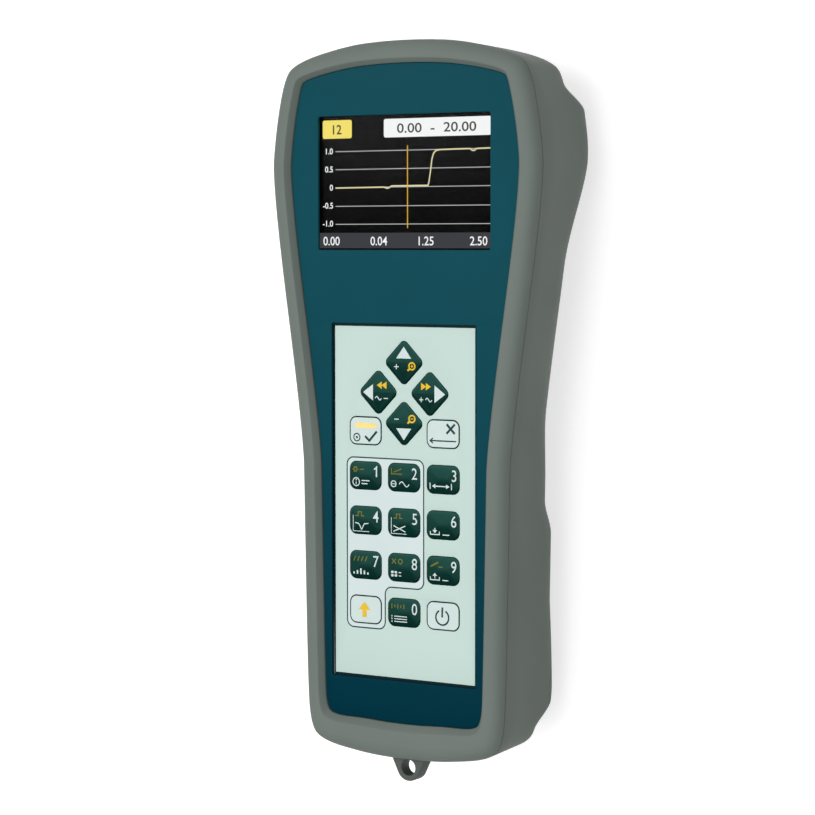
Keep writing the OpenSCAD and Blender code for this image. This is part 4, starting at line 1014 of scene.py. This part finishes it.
def build_group_line():
    """The dark line round the keys that the function key changes, with a whiter ground inside."""
    left, right, top, low, r = -21.9, 7.4, PAD_Y - 42.4, PAD_Y - 97.65, 2.4
    step_y, step_x = PAD_Y - 83.8, -7.25
    path = (
        arc(left + r, top - r, r, 180, 90)
        + arc(right - r, top - r, r, 90, 0)
        + arc(right - r, step_y + r, r, 0, -90)
        + arc(step_x + r, step_y - r, r, 90, 180)
        + arc(step_x - r, low + r, r, 0, -90)
        + arc(left + r, low + r, r, -90, -180)
    )
    ground = Ink("group_ground", MAT["pale_print"], Z_PAD + 0.002, slot="keypad_sheet", thick=0.008)
    inside = [k for k, (column, row) in SQUARE_KEYS.items() if row in (0, 1, 2) and column < 1]
    ground.loops([path] + [key_loop(k, KEY_GAP) for k in [*inside, "key_function"]])
    ground.done()
    line = Ink("group_line", MAT["dark_ink"], Z_PAD + 0.012, slot="dark_keys")
    line.closed_stroke(path, 0.42)
    line.done()


# ---- display

LIGHTS = {
    "lit_white": (255, 255, 255), "lit_grid": (212, 212, 212), "lit_yellow": (254, 232, 114),
    "lit_bar": (66, 66, 71), "lit_trace": (240, 229, 178), "lit_cursor": (226, 178, 60), "lit_dark": (74, 70, 66),
}
SCREEN_AT = (-0.64, PAD_Y)
SCREEN_LIFT, SCREEN_STEP, SCREEN_T = 0.01, 0.02, 0.01  # the dark ground, and how far apart the lit layers lie
GRID_ROWS = (56.1, 50.3, 44.5, 38.5, 32.7)
SCALE_MARKS = ((56.3, "1.0"), (50.5, "0.5"), (44.6, "0"), (38.8, "-0.5"), (33.0, "-1.0"))
BAR_NUMBERS = ((-31.0, "0.00", "LEFT"), (-12.7, "0.04", "LEFT"), (11.2, "1.25", "RIGHT"), (31.0, "2.50", "RIGHT"))
TRACE = [
    (-26.2, 44.4), (-7.4, 44.5), (-6.6, 44.15), (-5.8, 44.15), (-4.6, 44.85), (9.1, 44.85), (9.5, 46.0),
    (10.1, 49.6), (10.6, 53.2), (11.2, 54.9), (12.0, 55.7), (13.6, 56.05), (24.6, 56.15), (25.5, 55.55),
    (26.3, 55.55), (27.1, 56.15), (32.8, 56.2),
]
# The lit pieces: name, light, layer, and marks measured from SCREEN_AT.
SCREEN = (
    ("screen_white_box", "lit_white", 1, tile(12.4, 63.2, 39.9, 5.9, 0.7)),
    ("screen_yellow_box", "lit_yellow", 1, tile(-25.5, 63.25, 11.3, 5.9, 0.7)),
    (
        "screen_box_marks", "lit_dark", 2, digits(-25.5, 63.25, "12", 3.1, bold=0.14),
        digits(12.2, 63.2, "0.00  -  20.00", 3.1, bold=0.1, wide=1.3),
    ),
    ("screen_bar", "lit_bar", 1, area(*rect(-32.6, 25.0, 33.4, 29.95))),
    ("screen_grid", "lit_grid", 1, *(area(*rect(-26.2, y - 0.1, 32.6, y + 0.1)) for y in GRID_ROWS)),
    (
        "screen_numbers", "lit_white", 2, *(digits(-27.2, y, t, 1.95, "RIGHT", 0.12) for y, t in SCALE_MARKS),
        *(digits(x, 27.4, t, 2.9, align, 0.08, 0.96) for x, t, align in BAR_NUMBERS),
    ),
    ("screen_trace", "lit_trace", 3, line(*TRACE, w=0.4)),
    ("screen_cursor", "lit_cursor", 4, line((1.45, 57.6), (1.45, 31.4))),
)


def build_screen():
    """A dark ground on the display, and lit pieces in thin layers over it."""
    z = Z_DISPLAY + SCREEN_LIFT
    ground = [round_rect(SCREEN_W + 1.4, SCREEN_H + 1.4, 0.2, 0, SCREEN_Y)]
    plate("screen_ground", ground, Z_DISPLAY, z, MAT["display_glass"])
    lights = {name: glow(name, srgb(*rgb)) for name, rgb in LIGHTS.items()}
    for name, light, layer, *marks in SCREEN:
        ink = Ink(name, lights[light], z + SCREEN_STEP * layer, slot="display", thick=SCREEN_T)
        ink.draw(marks, *SCREEN_AT).done()


# ---- socket

THREAD_R, THREAD_DEPTH, THREAD_PITCH, THREAD_LEN = 7.94, 0.62, 1.058, 10.5
THREAD_ROWS, THREAD_SIDES, SOCKET_SHARP = 84, 72, 40
# The socket's section as radius and height over its flange: up to the thread, and from its end back to the start.
SOCKET_LEAD = ((2.2, -10), (6.4, -10), (6.4, -1.98), (9.2, -1.98), (9.2, -0.15), (9.05, 0))
SOCKET_TAIL = ((7.3, 11.0), (7.1, 11.1), (5.4, 11.1), (5.2, 11.0), (4.3, 9.9), (4.3, 1.0), (2.2, 1.0))


def build_socket():
    """The coaxial socket turned with its helical thread, which fades in and out at its ends."""
    n, turns = THREAD_SIDES, [i / THREAD_SIDES for i in range(THREAD_SIDES)]
    rows = [[(r, z)] * n for r, z in SOCKET_LEAD]
    for j in range(THREAD_ROWS + 1):
        t = j / THREAD_ROWS
        z = THREAD_LEN * t
        fade = min(1, 6 * t, 8 * (1 - t))
        flanks = [1 - abs(2 * ((z / THREAD_PITCH - u) % 1) - 1) for u in turns]
        rows.append([(THREAD_R - THREAD_DEPTH * flank * fade, z) for flank in flanks])
    rows += [[(r, z)] * n for r, z in SOCKET_TAIL]
    pts = []
    for row in rows:
        for u, (r, z) in zip(turns, row):
            a = 2 * pi * u
            pts.append((r * cos(a), Y_RECESS + 2 + z, AXIS_Z + r * sin(a)))
    bm = bm_from(pts, ring_faces(len(rows), n, closed=True))
    bmesh.ops.recalc_face_normals(bm, faces=bm.faces)
    finish_mesh("socket_body", bm, MAT["nickel"], CASE, SOCKET_SHARP, ("rf_connector",))


# ---- the CAD nodes that stay

NODE_MATERIALS = {
    "rubber": ("case_seal",),
    "steel": (
        "case_screws", "chassis_screws", "lcd_frame", "lcd_clamp", "clamp_screws", "key_domes",
        "key_board_screws", "board_screws", "shield_frame", "shield_lid", "clock_cell", "usb_socket",
        "battery_springs", "battery_contacts",
    ),
    # painted shade: the chassis shows in the gap round the keypad sheet as dark teal shadow
    "inner_plastic": ("chassis",),
    "window": ("display_window",),
    "display_glass": ("lcd_panel",),
    "diffuser": ("backlight",),
    "board": ("key_board", "main_board"),
    "black_plastic": ("board_chips", "buzzer", "connector_cup", "usb_tongue", "battery_tray"),
    "amber_film": ("display_ribbon", "keypad_ribbon"),
    "white_insulator": ("rf_insulator",),
    "gold": ("rf_contact", "rf_lead"),
    "nickel": ("connector_nut", "connector_washer"),
    "cell_jacket": ("battery_cells",),
    "wire_jacket": ("battery_leads",),
}
SHARP_NODES = ("display_window", "display_ribbon", "keypad_ribbon")
SOFT_EDGE, SOFT_ANGLE, WELD_DIST = 0.12, radians(50), 0.001


def dress_nodes():
    """Materials for the CAD nodes, and softened edges where they aren't thin film or clear."""
    for mat, nodes in NODE_MATERIALS.items():
        for o in (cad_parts[n] for n in nodes):
            if not o.data.materials:
                o.data.materials.append(MAT[mat])
            for s in o.material_slots:
                s.material = MAT[mat]
            if o.name in SHARP_NODES:
                continue
            o.modifiers.new("weld", "WELD").merge_threshold = WELD_DIST * MM
            soft = o.modifiers.new("soft", "BEVEL")
            soft.width, soft.segments = SOFT_EDGE * MM, 2
            soft.limit_method, soft.angle_limit = "ANGLE", SOFT_ANGLE


# ---- stage, light and camera, in metres but for VIEW_CENTRE

FLOOR_TONE, FLOOR_GLOW, WORLD_STRENGTH = 0.68, 0.67, 0.35
FLOOR_Z = -0.0003
YAW, PITCH, ROLL = 0.569281482, -0.0622476707, -0.000855336407
CAMERA_FAR, FOCAL_PIXELS, IMAGE_PIXELS, SENSOR = 0.845959, 2652.574, 815, 36
VIEW_CENTRE = (1.316, -25.70 + PAD_Y, Z_PAD)
PART_CENTRE = (0, 0, 0.03)


def build_floor():
    """A floor that takes the shadow, and looks brighter to camera and mirrors."""
    bm = bmesh.new()
    bmesh.ops.create_grid(bm, x_segments=8, y_segments=8, size=4)
    floor = plain_object("floor", bm)
    floor.location.z = FLOOR_Z
    m, nt, out = new_material("floor")
    soft = new_node(nt, "BsdfDiffuse", {"Color": (FLOOR_TONE, FLOOR_TONE, FLOOR_TONE, 1)})
    lit = new_node(nt, "Emission", {"Color": (1, 1, 1, 1)})
    rays = new_node(nt, "LightPath").outputs
    seen = math_node(nt, "MAXIMUM", rays["Is Camera Ray"], rays["Is Glossy Ray"])
    seen = math_node(nt, "MAXIMUM", seen, rays["Is Transmission Ray"])
    nt.links.new(math_node(nt, "MULTIPLY", seen, FLOOR_GLOW), lit.inputs["Strength"])
    both = new_node(nt, "AddShader")
    nt.links.new(soft.outputs[0], both.inputs[0])
    nt.links.new(lit.outputs[0], both.inputs[1])
    nt.links.new(both.outputs[0], out.inputs[0])
    floor.data.materials.append(m)


def build_world():
    """White to the camera, and dimmer as a light."""
    world = bpy.data.worlds.new("world")
    bpy.context.scene.world = world
    world.use_nodes = True
    nt = world.node_tree
    nt.nodes.clear()
    out = new_node(nt, "OutputWorld")
    dim = new_node(nt, "Background", {"Color": (1, 1, 1, 1), "Strength": WORLD_STRENGTH})
    white = new_node(nt, "Background", {"Color": (1, 1, 1, 1), "Strength": 1.0})
    camera_ray = new_node(nt, "LightPath").outputs["Is Camera Ray"]
    nt.links.new(mix_shaders(nt, camera_ray, dim.outputs[0], white.outputs[0]), out.inputs[0])


def add_lamp(name, at, size, watts):
    """A round soft lamp that looks at the part."""
    lamp = bpy.data.lights.new(name, "AREA")
    lamp.shape, lamp.size, lamp.energy = "DISK", size, watts
    o = new_object(name, lamp)
    o.location = at
    o.rotation_mode = "QUATERNION"
    o.rotation_quaternion = (Vector(PART_CENTRE) - Vector(at)).to_track_quat("-Z", "Y")


def build_camera():
    """The photograph's camera, fitted to the keypad sheet, the display window and the outline."""
    rot = Matrix.Rotation(YAW, 3, "Y") @ Matrix.Rotation(PITCH, 3, "X") @ Matrix.Rotation(ROLL, 3, "Z")
    cam = bpy.data.cameras.new("camera")
    cam.sensor_width, cam.lens = SENSOR, FOCAL_PIXELS / IMAGE_PIXELS * SENSOR
    cam.clip_start, cam.clip_end = 0.01, 20
    at = Vector(VIEW_CENTRE) * MM + rot @ Vector((0, 0, CAMERA_FAR))
    o = new_object("camera", cam)
    o.matrix_world = Matrix.Translation(at) @ rot.to_4x4()
    bpy.context.scene.camera = o


# ---- build

build_front()
build_back()
build_door()
build_lug()
build_face()
build_keys()
build_prints()
build_group_line()
build_screen()
build_socket()
dress_nodes()

build_floor()
build_world()
add_lamp("key_light", (0.12, -0.05, 1.4), 1.0, 10.5)
add_lamp("gloss_light", (-0.85, 0.45, 1.35), 0.7, 6)
build_camera()
bpy.context.scene.view_settings.view_transform = "Standard"
